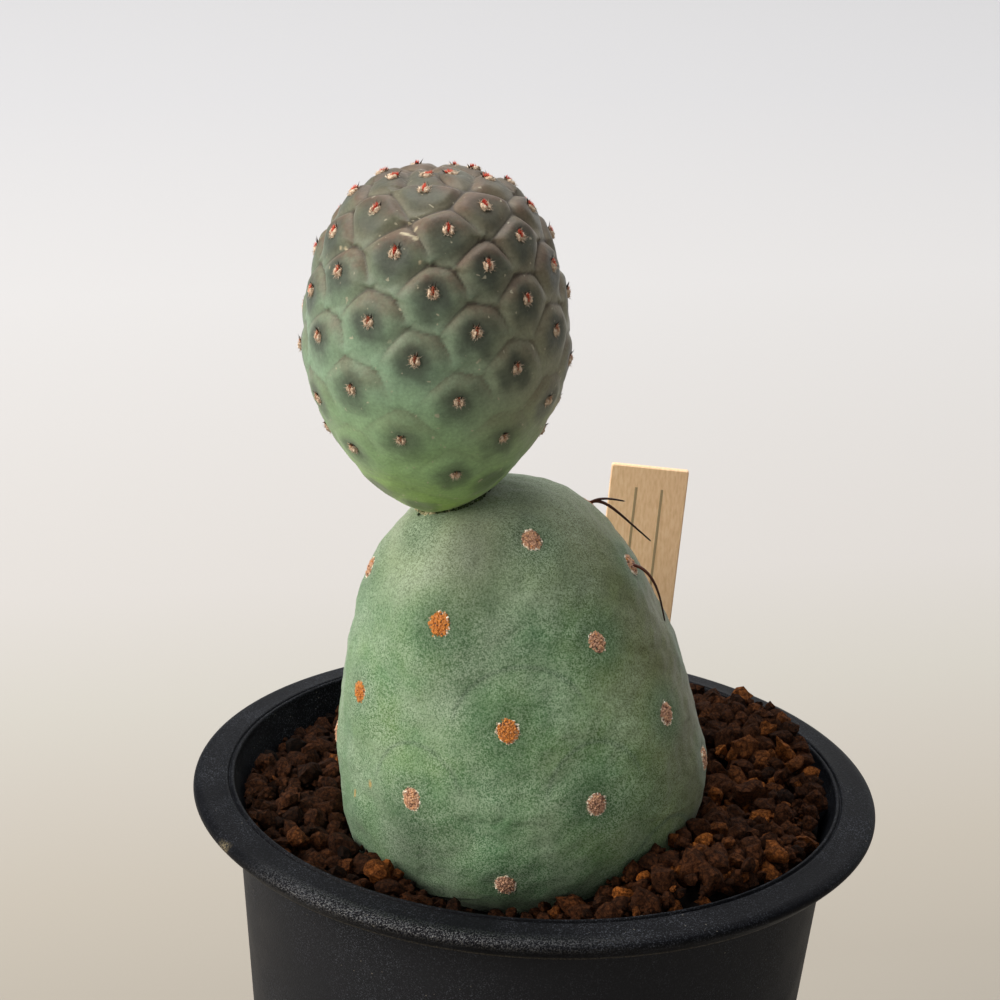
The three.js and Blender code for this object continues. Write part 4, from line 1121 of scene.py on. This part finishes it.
def make_stage():
    """A plain pale floor, slightly warmer and darker towards the front right, away from the window: painted
    shade.
    """
    rim = turned(np.array([[FLOOR_REACH, 0.0]]), FLOOR_SIDES)[0] * MM
    mesh = bpy.data.meshes.new("floor")
    mesh.from_pydata(rim.tolist(), [], [list(range(FLOOR_SIDES))])
    floor = placed("floor", mesh)
    material, node = finish_named("pale_floor_painted_shade", Roughness=0.8, Specular_IOR_Level=0.2)
    place = node("TexCoord", out="Object")
    # Painted shade: the floor's colour falls off towards the front right, away from the window.
    back = node("VectorMath", place, (-0.28, 1.0, 0.0), out="Value", operation="DOT_PRODUCT")
    share = node("MapRange", back, 0.06, 0.72)
    node("ValToRGB", share, to="Base Color", stops=[
        (0.05, "#989288"), (0.11, "#9f998f"), (0.17, "#a5a098"), (0.23, "#aaa7a0"), (0.32, "#b1aeab"),
        (0.64, "#b8b7b7"), (0.97, "#b5b5b7")])
    mesh.materials.append(material)


def aim(thing, place, target, roll=0.0):
    """Stands a lamp or a camera at a place, looking at a target, with a roll in degrees."""
    look = (Vector(target) - Vector(place)).to_track_quat("-Z", "Y").to_matrix().to_4x4()
    rolled = Matrix.Rotation(math.radians(roll), 4, "Z")
    thing.matrix_world = Matrix.Translation(Vector(place) * MM) @ look @ rolled


def make_light(name, place, target, size, power, colour):
    light = bpy.data.lights.new(name, "AREA")
    light.shape, light.size, light.energy = "DISK", size * MM, power
    light.color = linear(colour)[:3]
    aim(placed(name, light), place, target)


def make_camera():
    camera = bpy.data.cameras.new("camera")
    camera.sensor_width, camera.lens = 36.0, CAMERA_LENS
    bpy.context.scene.camera = placed("camera", camera)
    aim(bpy.context.scene.camera, CAMERA_PLACE, CAMERA_TARGET, CAMERA_ROLL)


def make_world():
    """Pale daylight from all round, weaker than the window."""
    world = bpy.data.worlds.new("pale_room")
    world.use_nodes = True
    sky = world.node_tree.nodes["Background"]
    sky.inputs["Color"].default_value = linear("#e9edf5")
    sky.inputs["Strength"].default_value = 0.22
    bpy.context.scene.world = world
    bpy.context.scene.view_settings.view_transform = "Standard"


make_camera()
make_world()
make_stage()
make_light("window_left", (-1550, -500, 950), (0, 0, 100), 1400, 48, "#fff8ef")
make_light("soft_top", (-200, 500, 1700), (0, 200, 0), 1400, 32, "#ffffff")
make_light("room_front", (350, -1450, 300), (0, 0, 100), 1500, 5.5, "#fff4e6")
make_light("pale_wall", (500, 1450, 650), (0, 0, 80), 2200, 9, "#f6f4f0")
make_pot()
make_soil()
old_areoles = make_old_joint()
make_tap_root()
make_corky_areoles(old_areoles)
make_long_spines(old_areoles)
make_woolly_areoles(make_young_joint())
make_joint_crust()
make_label()
